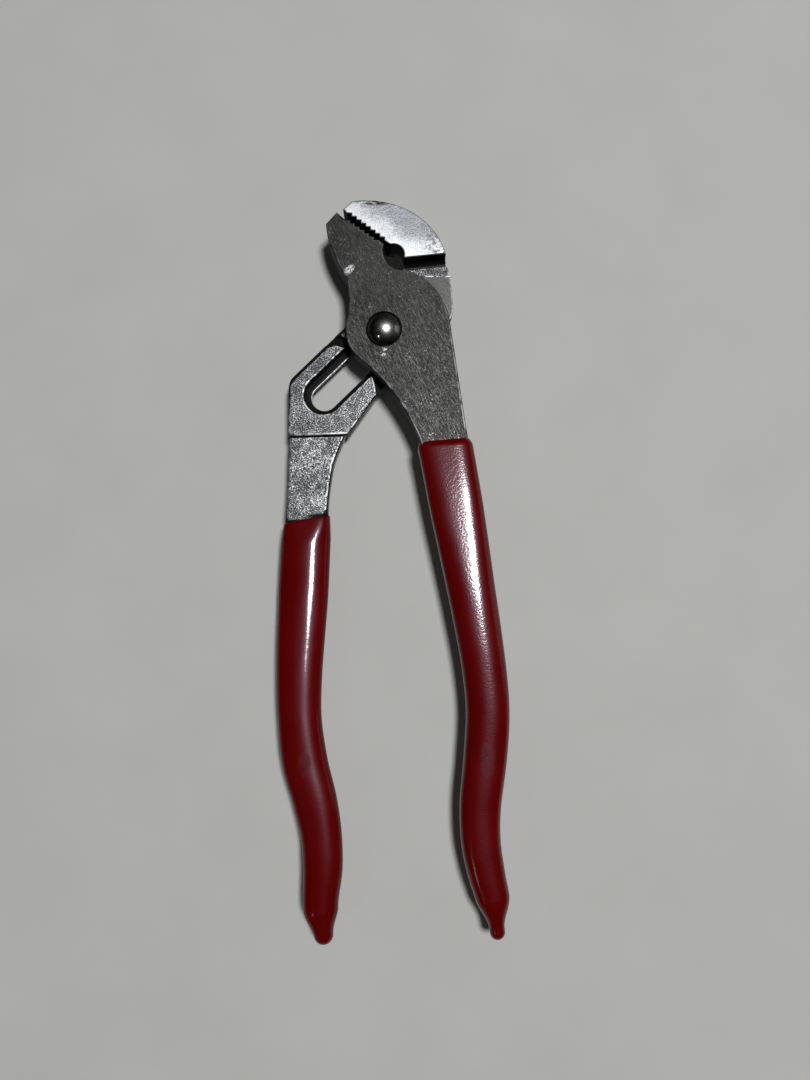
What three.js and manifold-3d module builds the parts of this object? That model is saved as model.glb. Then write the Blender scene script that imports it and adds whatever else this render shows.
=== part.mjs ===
import * as THREE from 'three';
import { mergeVertices } from 'three/addons/utils/BufferGeometryUtils.js';
import { ParametricGeometry } from 'three/addons/geometries/ParametricGeometry.js';
import Module from 'manifold-3d';

const wasm = await Module();
wasm.setup();

const { clamp, degToRad, lerp, smoothstep } = THREE.MathUtils;

// Water pump pliers with a tongue-and-groove adjustment, in millimetres, lying on their back.
// The pivot axis is Z, +Y points to the jaws and +Z out of the front face. The origin is on the
// pivot axis, at the end of the bolt, which is the lowest point of the tool.
// Heights are measured from the lap plane between the two halves until the last lines.

// Thickness of the two halves
const plateThickness = 5.85;      // of each half where one lies over the other
const lapGap = 0.3;               // between the two lap faces
const edgeBevel = 0.45;           // broken edges of the jaws and of the front plate
const padBevel = 0.8;             // broken edges of the slotted bar and pad
const railChamfer = 1.5;          // of the slotted bar's outer edge on the jaw's side

// Adjustment: the slot, the arc grooves beside it and the tongue that sits in them
const slotAngle = degToRad(45);   // of the slot's line from +X
const settings = 5;
const settingPitch = 7.5;
const slotWidth = 13.7;           // at the front, down to the ledge
const slotLedgeDepth = 4.3;       // of the ledge under the lap face
const railWidth = 5.6;            // of the bar on each side of the slot
const grooveRadius = 18.2;        // of each groove's near wall, about the bolt in that setting
const grooveWidth = 3.4;
const grooveDepth = 1.9;
const grooveReach = degToRad(58); // of each groove to either side of the slot's line
const tongueClearance = 0.25;     // of the tongue inside the groove's near wall
const tongueStart = degToRad(22); // of the tongue's arc from +X
const tongueEnd = degToRad(75);
const tongueRelief = 2.4;         // width of the hollow beside the tongue
const tongueStand = 1.6;          // of the tongue above the bottom of that hollow
const rimLip = 1.1;               // of the front plate outside the groove
const bossClearance = 0.2;        // of the round boss in the slot

// Reach of the front half's turn, from the pose it is drawn in
const closingAngle = degToRad(2.5);
const openingAngle = degToRad(68);
const turnClearance = 0.4;        // of the front jaw from the slotted bar at both ends of the turn

// Pivot bolt, washer and nut
const boltDiameter = 8;
const boltClearance = 0.15;       // in the front half, the washer and the nut, on the radius
const slotBoltClearance = 0.5;    // of the bolt in the slot's narrow part, on each side
const seatGap = 0.15;             // under the head, the washer and the nut
const headDiameter = 12.2;
const headRim = 0.9;
const domeHeight = 3.5;
const washerDiameter = 17;
const washerThickness = 1.2;
const nutAcrossFlats = 13;
const nutThickness = 3.4;
const nutChamfer = 0.6;
const boltEndStand = 0.6;         // of the bolt past the nut
const boltChamfer = 0.6;

// Front half: jaw, round plate and neck
const heelRadius = 13.2;          // of the plate behind the bolt
const heelStart = degToRad(172);
const heelEnd = degToRad(232);
const heelReach = 16;             // of the heel's line on towards the neck
const rimStart = degToRad(9);
const frontNotchRadius = 7;
const frontNotch = new THREE.Vector2(6.5, 28.4);
const frontTip = new THREE.Vector2(-16.7, 42.2);
const frontTipBack = new THREE.Vector2(-20.4, 37.9);
const frontBackBulge = new THREE.Vector2(-20, 29.5);
const frontJawFoot = new THREE.Vector2(-13.2, 18.6);
const frontWaistBulge = new THREE.Vector2(-11.6, 12);
const frontWaist = new THREE.Vector2(-12.6, 5.1);
const frontTeeth = 7;
const frontToothSlope = degToRad(35.8);
const frontFirstTooth = new THREE.Vector2(-13.6, 39.4);
const neckShoulder = -29;         // where the neck grows thicker than the plate, along Y
const neckBare = 1.5;             // of the handle between the plate's end and the grip

// Rear half: jaw, slotted bar, pad
const rearNotchRadius = 3.75;
const rearNotch = new THREE.Vector2(3, 27);
const rearTipPastTeeth = new THREE.Vector2(-1.37, 1.44);
const rearTipFace = new THREE.Vector2(3, 2.9);      // from the tip to the jaw's back
const rearCrown = new THREE.Vector2(4, 48.5);
const rearShoulder = new THREE.Vector2(17.5, 40);
const rearJawBack = new THREE.Vector2(21.1, 27.6);
const rearSideBulge = new THREE.Vector2(23.5, 22);
const rearBarCorner = new THREE.Vector2(23.9, 9.5);
const barCornerCut = 3.2;         // of the bar's outer corner, along X
const rearTeeth = 8;
const rearToothSlope = degToRad(37.4);
const rearFirstTooth = new THREE.Vector2(-0.1, 31.9);
const shoulderGap = 2.2;          // between the rear jaw's shoulder and the front plate's rim
const shoulderSlope = degToRad(6);
const throatEase = 0.3;           // of the rear notch's arc short of the last tooth, in radians
const padLeft = -33.4;
const padBottom = -35.8;
const padBottomRight = -12.7;
const padBottomRise = 0.7;        // of the pad's lower edge towards the right
const padSplay = 0.2;             // of the pad's left side at the bottom
const padEdgeAlong = -15.4;       // where the pad's right side leaves the bar, along the slot's line
const padCornerAlong = -32.6;     // where the pad's left corner starts, along the slot's line
const padCornerDrop = 2.2;        // and where it ends, below the sharp corner

// Teeth of both jaws
const toothPitch = 2.05;

// Handles: points of each centre line as x, the share of the way down to the grip's tip, and the
// width of the steel there
const handleReach = 204;          // of the rear grip's tip below the pivot
const tipStagger = 2.2;           // of the front grip's tip above it
const frontHandle = {
  top: -26.5,                     // along Y
  stations: [
    [17.6, 0, 17.4], [20.4, 0.0685, 16], [24.3, 0.1911, 15.4], [29, 0.3451, 13.6],
    [33.3, 0.4991, 12], [34.5, 0.5847, 11.7], [33.6, 0.6703, 11.6], [31.8, 0.7616, 10.9],
    [31.9, 0.8243, 10.2], [33.6, 0.8813, 9.4], [35.7, 0.9298, 8.2], [37.3, 1, 8],
  ],
  topThickness: 7.4,
  endThickness: 6.6,
  endMiddle: 0.2,
  topBevel: 0.45,
  gripTop: 12.4,                  // along the centre line
  gripSlant: degToRad(-6),        // of the grip's top edge from square
  nubRadius: 2.5,
  nubLength: 3.5,                 // of the round nub at the grip's tip
  flareLap: 3,                    // of the grip's widening above the nub over the steel's end
};
const rearHandle = {
  top: -33,
  stations: [
    [-23.2, 0, 19.6], [-25.2, 0.0585, 16.2], [-26.1, 0.117, 14.6], [-26.8, 0.193, 14.2],
    [-27.7, 0.3392, 14.2], [-28.6, 0.4912, 12.8], [-28.3, 0.5731, 12], [-26.3, 0.6608, 12.4],
    [-22.7, 0.7368, 11.8], [-20.5, 0.8012, 10.8], [-19.9, 0.8596, 10.3], [-20.5, 0.9298, 8.9],
    [-19, 1, 8.6],
  ],
  topThickness: 5.6,
  endThickness: 6.2,
  endMiddle: -1.8,
  topBevel: 1.0,
  gripTop: 32.6,
  gripSlant: degToRad(14),
  nubRadius: 3.2,
  nubLength: 2.5,
  flareLap: 1,
};
const shankDrop = 1.0;            // of the rear shank's front face under the pad
const tangBevel = 1.5;            // broken edges of the steel inside the grips
const bevelStart = 3.4;           // where that bevel starts and is full, below the grip's top
const bevelFull = 20;
const gripWall = 1.4;
const gripGap = 0.15;             // between the grip and the steel
const gripRoundness = 3.4;        // exponent of the grip's squarish oval section
const gripLip = 0.9;              // radius of the grip's rounded top edge
const slantFade = 25;             // length over which the slant of the top edge dies away
const noseLength = 10.5;          // of the grip below the steel

// Fineness of curves
const arcSteps = 12;
const roundSteps = 40;
const domeSteps = 9;
const tangRows = 34;
const gripRows = 40;
const gripSlices = 28;
const lipSteps = 3;
const noseSteps = 11;
const nubShares = [0.33, 0.05];   // of the nub's radius, for the last rows before the tip
const mergeDistance = 1e-3;

// Heights
const frontUnderside = lapGap / 2;
const frontFace = frontUnderside + plateThickness;
const lapFace = -lapGap / 2;
const backFace = lapFace - plateThickness;
const beyond = 40;                // reach of cutting solids

// Places that follow from the sizes above
const slotLine = new THREE.Vector2(Math.cos(slotAngle), Math.sin(slotAngle));
const slotTravel = (settings - 1) * settingPitch;
const barHalfWidth = slotWidth / 2 + railWidth;
const tongueInner = grooveRadius + tongueClearance;
const rimRadius = grooveRadius + grooveWidth + rimLip;
const boltRadius = boltDiameter / 2;
const bossRadius = slotWidth / 2 - bossClearance;
const shoulderDistance = rimRadius + shoulderGap;

// Turns a closed three.js geometry into a solid for cutting and joining.
function solid(geometry) {
  geometry.deleteAttribute('normal');
  geometry.deleteAttribute('uv');
  const merged = mergeVertices(geometry, mergeDistance);
  const corners = merged.index.array;
  const kept = [];
  for (let i = 0; i < corners.length; i += 3) {
    const [a, b, c] = corners.slice(i, i + 3);
    if (a !== b && b !== c && c !== a) kept.push(a, b, c);
  }
  return new wasm.Manifold(new wasm.Mesh({
    numProp: 3,
    vertProperties: new Float32Array(merged.attributes.position.array),
    triVerts: new Uint32Array(kept),
  }));
}

// A flat outline given thickness from low to high, with both rims broken by the bevel.
function slab(shape, low, high, bevel = 0) {
  const geometry = new THREE.ExtrudeGeometry(shape, {
    depth: high - low - 2 * bevel,
    bevelEnabled: bevel > 0,
    bevelThickness: bevel,
    bevelSize: bevel,
    bevelOffset: -bevel,
    bevelSegments: 1,
    curveSegments: arcSteps,
  });
  geometry.translate(0, 0, low + bevel);
  return geometry;
}

// A body of revolution about Z from a profile of [radius, height] pairs.
function turned(profile) {
  const points = profile.map(([radius, height]) => new THREE.Vector2(radius, height));
  return new THREE.LatheGeometry(points, roundSteps).rotateX(Math.PI / 2);
}

function rod(radius, low, high) {
  return solid(turned([[0, low], [radius, low], [radius, high], [0, high]]));
}

// A point at a distance along the slot's line and another square to it, on the jaw's side.
function onSlot(along, aside) {
  return new THREE.Vector2(
    slotLine.x * along - slotLine.y * aside,
    slotLine.y * along + slotLine.x * aside,
  );
}

// Everything on the pivot's side of a line that touches a circle about the pivot.
function nearSide(distance, angle, low, high) {
  const box = new THREE.BoxGeometry(2 * beyond, 4 * beyond, high - low);
  box.translate(distance - beyond, 0, (low + high) / 2);
  return solid(box.rotateZ(angle));
}

// Where two circles meet, on the right of the way from the first centre to the second.
function circlesMeet(centreA, radiusA, centreB, radiusB) {
  const way = centreB.clone().sub(centreA);
  const apart = way.length();
  const along = (apart ** 2 + radiusA ** 2 - radiusB ** 2) / (2 * apart);
  const aside = Math.sqrt(radiusA ** 2 - along ** 2);
  way.normalize();
  return centreA.clone()
    .addScaledVector(way, along)
    .add(new THREE.Vector2(way.y, -way.x).multiplyScalar(aside));
}

const angleFrom = (centre, point) => Math.atan2(point.y - centre.y, point.x - centre.x);

// Square-cut teeth from the throat to the tip: each step rises along Y, then runs back along X.
function addTeeth(shape, first, count, slope) {
  const run = toothPitch * Math.cos(slope);
  const rise = toothPitch * Math.sin(slope);
  for (let tooth = 0; tooth < count; tooth++) {
    const x = first.x - run * tooth;
    const y = first.y + rise * tooth;
    shape.lineTo(x, y + rise);
    shape.lineTo(x - run, y + rise);
  }
}

// Each handle's centre line: x, y and width travel together along one smooth curve.
frontHandle.tip = tipStagger - handleReach;
rearHandle.tip = -handleReach;
for (const handle of [frontHandle, rearHandle]) {
  const { top, tip, stations } = handle;
  const places = stations.map(([x, share, width]) => new THREE.Vector3(x, lerp(top, tip, share), width));
  handle.line = new THREE.CatmullRomCurve3(places);
  handle.length = handle.line.getLength();
}

// The heights at which each handle leaves its half.
frontHandle.topMiddle = frontFace - frontHandle.topThickness / 2;
rearHandle.topMiddle = lapFace - shankDrop - rearHandle.topThickness / 2;

// How far a round edge of the given radius has come in, at a depth below its start.
function roundedIn(radius, depth) {
  const left = 1 - clamp(depth / radius, 0, 1);
  return radius * (1 - Math.sqrt(1 - left ** 2));
}

// Section places of a handle at a distance along its centre line.
function handleAt(handle, distance) {
  const share = distance / handle.length;
  const { x, y, z: width } = handle.line.getPointAt(share);
  const heading = handle.line.getTangentAt(share);
  const run = Math.hypot(heading.x, heading.y);
  const settle = smoothstep(share, 0, 1);
  const inGrip = distance - handle.gripTop;
  return {
    centre: new THREE.Vector2(x, y),
    along: new THREE.Vector2(heading.x / run, heading.y / run),
    across: new THREE.Vector2(-heading.y / run, heading.x / run),
    width,
    thickness: lerp(handle.topThickness, handle.endThickness, settle),
    middle: lerp(handle.topMiddle, handle.endMiddle, settle),
    bevel: lerp(handle.topBevel, tangBevel, smoothstep(inGrip, bevelStart, bevelFull)),
    inGrip,
    nub: handle.nubRadius - roundedIn(handle.nubRadius, handle.length - distance),
    spread: smoothstep(handle.length - distance, handle.nubLength, noseLength + handle.flareLap),
    lean: Math.tan(handle.gripSlant) * (1 - smoothstep(inGrip, 0, slantFade)),
  };
}

// Eight corners of a bar with broken edges, one for each eighth of a turn.
function bevelledSection(turn, place, grow) {
  const across = place.width / 2 + grow;
  const up = place.thickness / 2 + grow;
  const { bevel } = place;
  const corners = [
    [across, bevel - up], [across, up - bevel], [across - bevel, up], [bevel - across, up],
    [-across, up - bevel], [-across, bevel - up], [bevel - across, -up], [across - bevel, -up],
  ];
  return [...corners[Math.round(turn * 8) % 8], 0];
}

// The grip's outside: a squarish oval round the steel with a rounded and slanted top edge, which
// runs out below the steel into a round nub.
function gripSection(turn, place) {
  const cos = Math.cos(2 * Math.PI * turn);
  const sin = Math.sin(2 * Math.PI * turn);
  const { nub, spread } = place;
  const grow = gripWall - roundedIn(gripLip, place.inGrip);
  const power = 2 / lerp(2, gripRoundness, spread);
  const aside = lerp(nub, place.width / 2 + grow, spread) * Math.sign(cos) * Math.abs(cos) ** power;
  const up = lerp(nub, place.thickness / 2 + grow, spread) * Math.sign(sin) * Math.abs(sin) ** power;
  return [aside, up, -place.lean * aside];
}

// Distances along a handle, evenly spread with both ends included.
function spacedOut(from, to, count) {
  return Array.from({ length: count }, (_, step) => lerp(from, to, step / (count - 1)));
}

// Carries a section along a handle through the given distances, closed at both ends. The section
// gives the distances across, up and along for each share of a full turn.
function carried(handle, distances, slices, section) {
  const rows = distances.length + 1;
  const places = distances.map((distance) => handleAt(handle, distance));
  const surface = (turn, way, target) => {
    const row = Math.round(way * rows);
    const place = places[clamp(row - 1, 0, places.length - 1)];
    const [aside, up, forward] = row > 0 && row < rows ? section(turn, place) : [0, 0, 0];
    target.set(
      place.centre.x + place.across.x * aside + place.along.x * forward,
      place.centre.y + place.across.y * aside + place.along.y * forward,
      place.middle + up,
    );
  };
  return solid(new ParametricGeometry(surface, slices, rows));
}

// The steel of a handle from one distance along it down to the grip's nose, grown all round.
function tang(handle, from, grow) {
  const distances = spacedOut(from, handle.length - noseLength + grow, tangRows);
  return carried(handle, distances, 8, (turn, place) => bevelledSection(turn, place, grow));
}

// Front half: jaw at full thickness, round plate over the rear half, neck and handle.
function frontOutline() {
  const shape = new THREE.Shape();
  const neck = handleAt(frontHandle, frontHandle.gripTop - neckBare);
  const neckLeft = neck.centre.clone().addScaledVector(neck.across, -neck.width / 2);
  const neckRight = neck.centre.clone().addScaledVector(neck.across, neck.width / 2);
  const throat = new THREE.Vector2(
    frontFirstTooth.x + frontTeeth * toothPitch * Math.cos(frontToothSlope),
    frontFirstTooth.y - frontTeeth * toothPitch * Math.sin(frontToothSlope),
  );
  const throatEnd = angleFrom(frontNotch, throat);
  const rimEnd = circlesMeet(new THREE.Vector2(), rimRadius, frontNotch, frontNotchRadius);
  const heelFoot = new THREE.Vector2(Math.cos(heelEnd), Math.sin(heelEnd)).multiplyScalar(heelRadius);
  const heelWay = new THREE.Vector2(-Math.sin(heelEnd), Math.cos(heelEnd)).multiplyScalar(heelReach);
  shape.moveTo(frontTip.x, frontTip.y);
  shape.lineTo(frontTipBack.x, frontTipBack.y);
  shape.quadraticCurveTo(frontBackBulge.x, frontBackBulge.y, frontJawFoot.x, frontJawFoot.y);
  shape.quadraticCurveTo(frontWaistBulge.x, frontWaistBulge.y, frontWaist.x, frontWaist.y);
  shape.absarc(0, 0, heelRadius, heelStart, heelEnd, false);
  shape.quadraticCurveTo(heelFoot.x + heelWay.x, heelFoot.y + heelWay.y, neckLeft.x, neckLeft.y);
  shape.lineTo(neckRight.x, neckRight.y);
  shape.absarc(0, 0, rimRadius, rimStart, angleFrom(new THREE.Vector2(), rimEnd), false);
  shape.absarc(frontNotch.x, frontNotch.y, frontNotchRadius,
    angleFrom(frontNotch, rimEnd), throatEnd - 2 * Math.PI, true);
  addTeeth(shape, throat, frontTeeth, frontToothSlope);
  shape.closePath();
  return shape;
}

// A ring sector about Z, from one angle to another.
function ringSector(inner, outer, start, end) {
  const shape = new THREE.Shape();
  shape.absarc(0, 0, outer, start, end, false);
  shape.absarc(0, 0, inner, end, start, true);
  shape.closePath();
  return shape;
}

function frontHalf() {
  let body = solid(slab(frontOutline(), backFace, frontFace, edgeBevel));
  // The jaw keeps its full thickness outside two lines that the slotted bar's side takes up
  // at the ends of the turn; the rest of the back is cut away to the lap.
  const clear = barHalfWidth + turnClearance;
  const besideBar = slotAngle + Math.PI / 2;
  const shut = nearSide(clear, besideBar + closingAngle, -beyond, frontUnderside);
  const wide = nearSide(clear, besideBar - openingAngle, -beyond, frontUnderside);
  body = body.subtract(shut.add(wide));
  const handle = tang(frontHandle, 0, 0);
  const aboveShoulder = new THREE.BoxGeometry(4 * beyond, beyond, 2 * beyond);
  aboveShoulder.translate(0, neckShoulder + beyond / 2, frontUnderside - beyond);
  body = body.add(handle.subtract(solid(aboveShoulder)));
  body = body.add(rod(bossRadius, lapFace - slotLedgeDepth + lapGap, frontFace - edgeBevel));
  // The tongue is the plain arc left between the rim and a hollow in the underside.
  const hollow = ringSector(tongueInner - tongueRelief, tongueInner, tongueStart, tongueEnd);
  body = body.subtract(solid(slab(hollow, lapFace, frontUnderside + tongueStand)));
  return body.subtract(rod(boltRadius + boltClearance, -beyond, beyond));
}

// Rear half: jaw, slotted bar with its grooves, pad, shank and handle.
function rearOutline() {
  const shape = new THREE.Shape();
  const barTop = onSlot(0, barHalfWidth);
  const throatX = rearNotch.x + rearNotchRadius;
  const throatFoot = barTop.y + (throatX - barTop.x) * Math.tan(slotAngle);
  const barRight = onSlot(0, -barHalfWidth);
  const cornerX = rearBarCorner.x - barCornerCut;
  const cornerFoot = barRight.y + (cornerX - barRight.x) * Math.tan(slotAngle);
  const tipEnd = barRight.y + (rearBarCorner.x - barRight.x) * Math.tan(slotAngle);
  const padEdge = onSlot(padEdgeAlong, -barHalfWidth);
  const padCorner = barTop.y + (padLeft - barTop.x) * Math.tan(slotAngle);
  const padShoulder = onSlot(padCornerAlong, barHalfWidth);
  const throatEnd = angleFrom(rearNotch, rearFirstTooth) - throatEase;
  const tip = new THREE.Vector2(
    rearFirstTooth.x - rearTeeth * toothPitch * Math.cos(rearToothSlope),
    rearFirstTooth.y + rearTeeth * toothPitch * Math.sin(rearToothSlope),
  ).add(rearTipPastTeeth);
  const tipBack = tip.clone().add(rearTipFace);
  shape.moveTo(tip.x, tip.y);
  shape.lineTo(tipBack.x, tipBack.y);
  shape.bezierCurveTo(rearCrown.x, rearCrown.y, rearShoulder.x, rearShoulder.y,
    rearJawBack.x, rearJawBack.y);
  shape.quadraticCurveTo(rearSideBulge.x, rearSideBulge.y, rearBarCorner.x, rearBarCorner.y);
  shape.quadraticCurveTo(rearBarCorner.x, tipEnd, cornerX, cornerFoot);
  shape.lineTo(padEdge.x, padEdge.y);
  shape.lineTo(padBottomRight, padBottom + padBottomRise);
  shape.lineTo(padLeft + padSplay, padBottom);
  shape.lineTo(padLeft, padCorner - padCornerDrop);
  shape.quadraticCurveTo(padLeft, padCorner, padShoulder.x, padShoulder.y);
  shape.lineTo(throatX, throatFoot);
  shape.absarc(rearNotch.x, rearNotch.y, rearNotchRadius, 0, throatEnd, false);
  shape.lineTo(rearFirstTooth.x, rearFirstTooth.y);
  addTeeth(shape, rearFirstTooth, rearTeeth, rearToothSlope);
  shape.closePath();
  return shape;
}

// A long round-ended prism along the slot, from the first bolt setting to the last.
function slotPrism(halfWidth, low, high) {
  const shape = new THREE.Shape();
  shape.absarc(0, 0, halfWidth, -Math.PI / 2, Math.PI / 2, false);
  shape.absarc(-slotTravel, 0, halfWidth, Math.PI / 2, 1.5 * Math.PI, false);
  shape.closePath();
  return solid(slab(shape, low, high).rotateZ(slotAngle));
}

// One arc groove about the bolt's place in a setting, cut from above.
function groove(setting) {
  const sector = ringSector(grooveRadius, grooveRadius + grooveWidth, -grooveReach, grooveReach);
  const geometry = slab(sector, lapFace - grooveDepth, frontUnderside);
  geometry.translate(-setting * settingPitch, 0, 0);
  return solid(geometry.rotateZ(slotAngle));
}

// The outer edge of the slotted bar on the jaw's side, from beyond the pad up to the first groove.
function barEdge() {
  const side = railChamfer * Math.SQRT2;
  const box = new THREE.BoxGeometry(2 * beyond, side, side).rotateX(Math.PI / 4);
  box.translate(grooveRadius - beyond, barHalfWidth, lapFace);
  return solid(box.rotateZ(slotAngle));
}

function rearHalf() {
  const outline = rearOutline();
  const besideShoulder = shoulderSlope + Math.PI / 2;
  const jaw = solid(slab(outline, backFace, frontFace, edgeBevel))
    .subtract(nearSide(shoulderDistance, besideShoulder, -beyond, beyond));
  let body = solid(slab(outline, backFace, lapFace, padBevel)).add(jaw);
  body = body.subtract(barEdge()).add(tang(rearHandle, 0, 0));
  for (let setting = 0; setting < settings; setting++) {
    body = body.subtract(groove(setting));
  }
  body = body.subtract(slotPrism(slotWidth / 2, lapFace - slotLedgeDepth, beyond));
  return body.subtract(slotPrism(boltRadius + slotBoltClearance, -beyond, beyond));
}

// Pivot: a bolt with a domed head in front, a washer and a six-sided nut behind.
const headSeat = frontFace + seatGap;
const washerTop = backFace - seatGap;
const nutTop = washerTop - washerThickness - seatGap;
const nutBottom = nutTop - nutThickness;
const boltEnd = nutBottom - boltEndStand;

function pivotBolt() {
  const headRadius = headDiameter / 2;
  const domeRadius = (headRadius ** 2 + domeHeight ** 2) / (2 * domeHeight);
  const domeHalfAngle = Math.asin(headRadius / domeRadius);
  const profile = [
    [0, boltEnd], [boltRadius - boltChamfer, boltEnd], [boltRadius, boltEnd + boltChamfer],
    [boltRadius, headSeat], [headRadius, headSeat],
  ];
  for (let step = 0; step <= domeSteps; step++) {
    const angle = domeHalfAngle * (1 - step / domeSteps);
    const height = domeHeight - domeRadius * (1 - Math.cos(angle));
    profile.push([step === domeSteps ? 0 : domeRadius * Math.sin(angle), headSeat + headRim + height]);
  }
  return solid(turned(profile));
}

function pivotWasher() {
  const low = washerTop - washerThickness;
  return rod(washerDiameter / 2, low, washerTop).subtract(rod(boltRadius + boltClearance, -beyond, beyond));
}

function pivotNut() {
  const shape = new THREE.Shape();
  const cornerRadius = nutAcrossFlats / Math.sqrt(3);
  for (let corner = 0; corner < 6; corner++) {
    const angle = corner * Math.PI / 3;
    const method = corner ? 'lineTo' : 'moveTo';
    shape[method](cornerRadius * Math.cos(angle), cornerRadius * Math.sin(angle));
  }
  shape.closePath();
  const flatRadius = nutAcrossFlats / 2;
  const coned = solid(turned([
    [0, nutBottom], [flatRadius, nutBottom], [cornerRadius + nutChamfer, nutBottom + nutChamfer],
    [cornerRadius + nutChamfer, nutTop], [0, nutTop],
  ]));
  return solid(slab(shape, nutBottom, nutTop))
    .intersect(coned)
    .subtract(rod(boltRadius + boltClearance, -beyond, beyond));
}

// A dipped grip: a sleeve that follows the handle and ends in a hardened drip.
function grip(handle) {
  const top = handle.gripTop;
  const flare = handle.length - noseLength - handle.flareLap;
  const distances = [
    ...spacedOut(top, top + gripLip, lipSteps + 1),
    ...spacedOut(top + gripLip, flare, gripRows).slice(1),
    ...spacedOut(flare, handle.length - handle.nubRadius, noseSteps).slice(1),
    ...nubShares.map((share) => handle.length - share * handle.nubRadius),
  ];
  return carried(handle, distances, gripSlices, gripSection).subtract(tang(handle, top / 2, gripGap));
}

// Scene
const pliers = new THREE.Group();
pliers.name = 'water_pump_pliers';

function addPart(name, body, colour, roughness, metalness) {
  const { vertProperties, triVerts } = body.getMesh();
  const geometry = new THREE.BufferGeometry();
  geometry.setAttribute('position', new THREE.BufferAttribute(vertProperties, 3));
  geometry.setIndex(new THREE.BufferAttribute(triVerts, 1));
  geometry.computeVertexNormals();
  const material = new THREE.MeshStandardMaterial({ color: colour, roughness, metalness });
  const mesh = new THREE.Mesh(geometry, material);
  mesh.name = name;
  pliers.add(mesh);
}

addPart('rear_half', rearHalf(), 0xb4b6b8, 0.42, 1);
addPart('front_half', frontHalf(), 0x75767a, 0.38, 1);
addPart('pivot_bolt', pivotBolt(), 0x8c8d8f, 0.15, 1);
addPart('pivot_washer', pivotWasher(), 0x9a9b9d, 0.35, 1);
addPart('pivot_nut', pivotNut(), 0x86878a, 0.35, 1);
addPart('left_grip', grip(rearHandle), 0x8e0d12, 0.3, 0);
addPart('right_grip', grip(frontHandle), 0x8e0d12, 0.3, 0);

pliers.position.z = -boltEnd;

export default pliers;
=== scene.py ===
"""Looks of the water pump pliers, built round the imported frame.

Sizes are in millimetres and heights are counted from the lap plane between the two halves until a
piece is made; LAP_HEIGHT and MM then bring them into the frame's metres.
"""

import math
from types import SimpleNamespace

import bpy
import numpy as np
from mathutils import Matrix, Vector
from mathutils.geometry import tessellate_polygon


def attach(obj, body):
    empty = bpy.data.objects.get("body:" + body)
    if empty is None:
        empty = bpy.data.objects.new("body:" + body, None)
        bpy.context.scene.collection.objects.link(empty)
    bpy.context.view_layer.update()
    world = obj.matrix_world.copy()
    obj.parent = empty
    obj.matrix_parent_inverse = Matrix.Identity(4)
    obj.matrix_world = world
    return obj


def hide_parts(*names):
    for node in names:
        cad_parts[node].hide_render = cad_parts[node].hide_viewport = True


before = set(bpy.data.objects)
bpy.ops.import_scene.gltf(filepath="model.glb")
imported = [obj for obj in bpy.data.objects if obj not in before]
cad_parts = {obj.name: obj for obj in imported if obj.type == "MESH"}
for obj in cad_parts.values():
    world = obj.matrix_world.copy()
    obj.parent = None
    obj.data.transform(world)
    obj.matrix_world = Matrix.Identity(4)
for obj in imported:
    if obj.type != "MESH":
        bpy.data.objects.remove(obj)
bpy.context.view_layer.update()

MM = 0.001
LAP_HEIGHT = 11.5

# Heights of the two halves
FRONT_FACE, FRONT_UNDERSIDE = 6.0, 0.15
LAP_FACE, BACK_FACE = -0.15, -6.0
EDGE_ROUND, BACK_ROUND, RAIL_CHAMFER = 0.45, 0.56, 1.5
SLOT_ROUND, LAND_ROUND, LAP_ROUND, STRIP_ROUND = 0.3, 0.2, 0.15, 0.12
HOLE_ROUND, UNDER_ROUND = 0.1, 0.2
ROUND_STEPS, FACE_MARGIN, TOP_RING = 4, 0.3, 0.05
# Wall openness away from the throat, and how squarely a wall faces it to be wholly painted black as shade
OUTER_WALL, FACES_THROAT = 0.38, 0.25

# Adjustment
SLOT_ANGLE = 45
SETTINGS, SETTING_PITCH = 5, 7.5
SLOT_HALF, BAR_HALF = 6.85, 12.45
LEDGE_DEPTH, SLOT_NARROW_HALF = 4.3, 4.5
SLOT_TRAVEL, SLOT_END_POINTS = (SETTINGS - 1) * SETTING_PITCH, 40
GROOVE_RADIUS, GROOVE_WIDTH, GROOVE_DEPTH = 18.2, 3.4, 1.9
GROOVE_OUTER = GROOVE_RADIUS + GROOVE_WIDTH
RIM_RADIUS = 22.7
BED_TOP = LAP_FACE - GROOVE_DEPTH
TONGUE_INNER, TONGUE_START, TONGUE_END = 18.45, 22, 75
HOLLOW_WIDTH, HOLLOW_TOP = 2.4, FRONT_UNDERSIDE + 1.6

# Jaws and teeth; a curve is given by its control points
TOOTH_PITCH = 2.05
FRONT_TIP = (-16.7, 42.2)
FRONT_BACK = (-20.4, 37.9), (-20, 29.5), (-13.2, 18.6)
FRONT_WAIST = (-13.2, 18.6), (-11.6, 12), (-12.6, 5.1)
REAR_TIP = (-14.5, 43.3)
REAR_SIDE = (23.9, 9.5), (23.5, 22), (21.1, 27.6)
REAR_BACK = (21.1, 27.6), (17.5, 40), (4, 48.5), (-11.5, 46.2)
REAR_CORNER_CUT, THROAT_FOOT = 3.2, 6.75
FRONT_TEETH, FRONT_SLOPE, FRONT_FIRST = 7, 35.8, (-13.6, 39.4)
REAR_TEETH, REAR_SLOPE, REAR_FIRST = 8, 37.4, (-0.1, 31.9)
FRONT_NOTCH, FRONT_NOTCH_RADIUS = (6.5, 28.4), 7.0
REAR_NOTCH, REAR_NOTCH_RADIUS = (3.0, 27.0), 3.75
SHOULDER_DISTANCE, SHOULDER_SLOPE = 24.9, 6
STRIP_LEFT, STRIP_RIGHT = (3.95, 21.55), (23.0, 21.3)
STRIP_STAND = 0.08
SHOULDER_LEFT, SHOULDER_RIGHT = (6.75, 25.7), (21.25, 27.25)
HEEL_RADIUS, HEEL_START, HEEL_END, HEEL_PULL = 13.2, 172, 232, 16
RIM_START = 9
FILLET_RADIUS = 2.1
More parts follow.
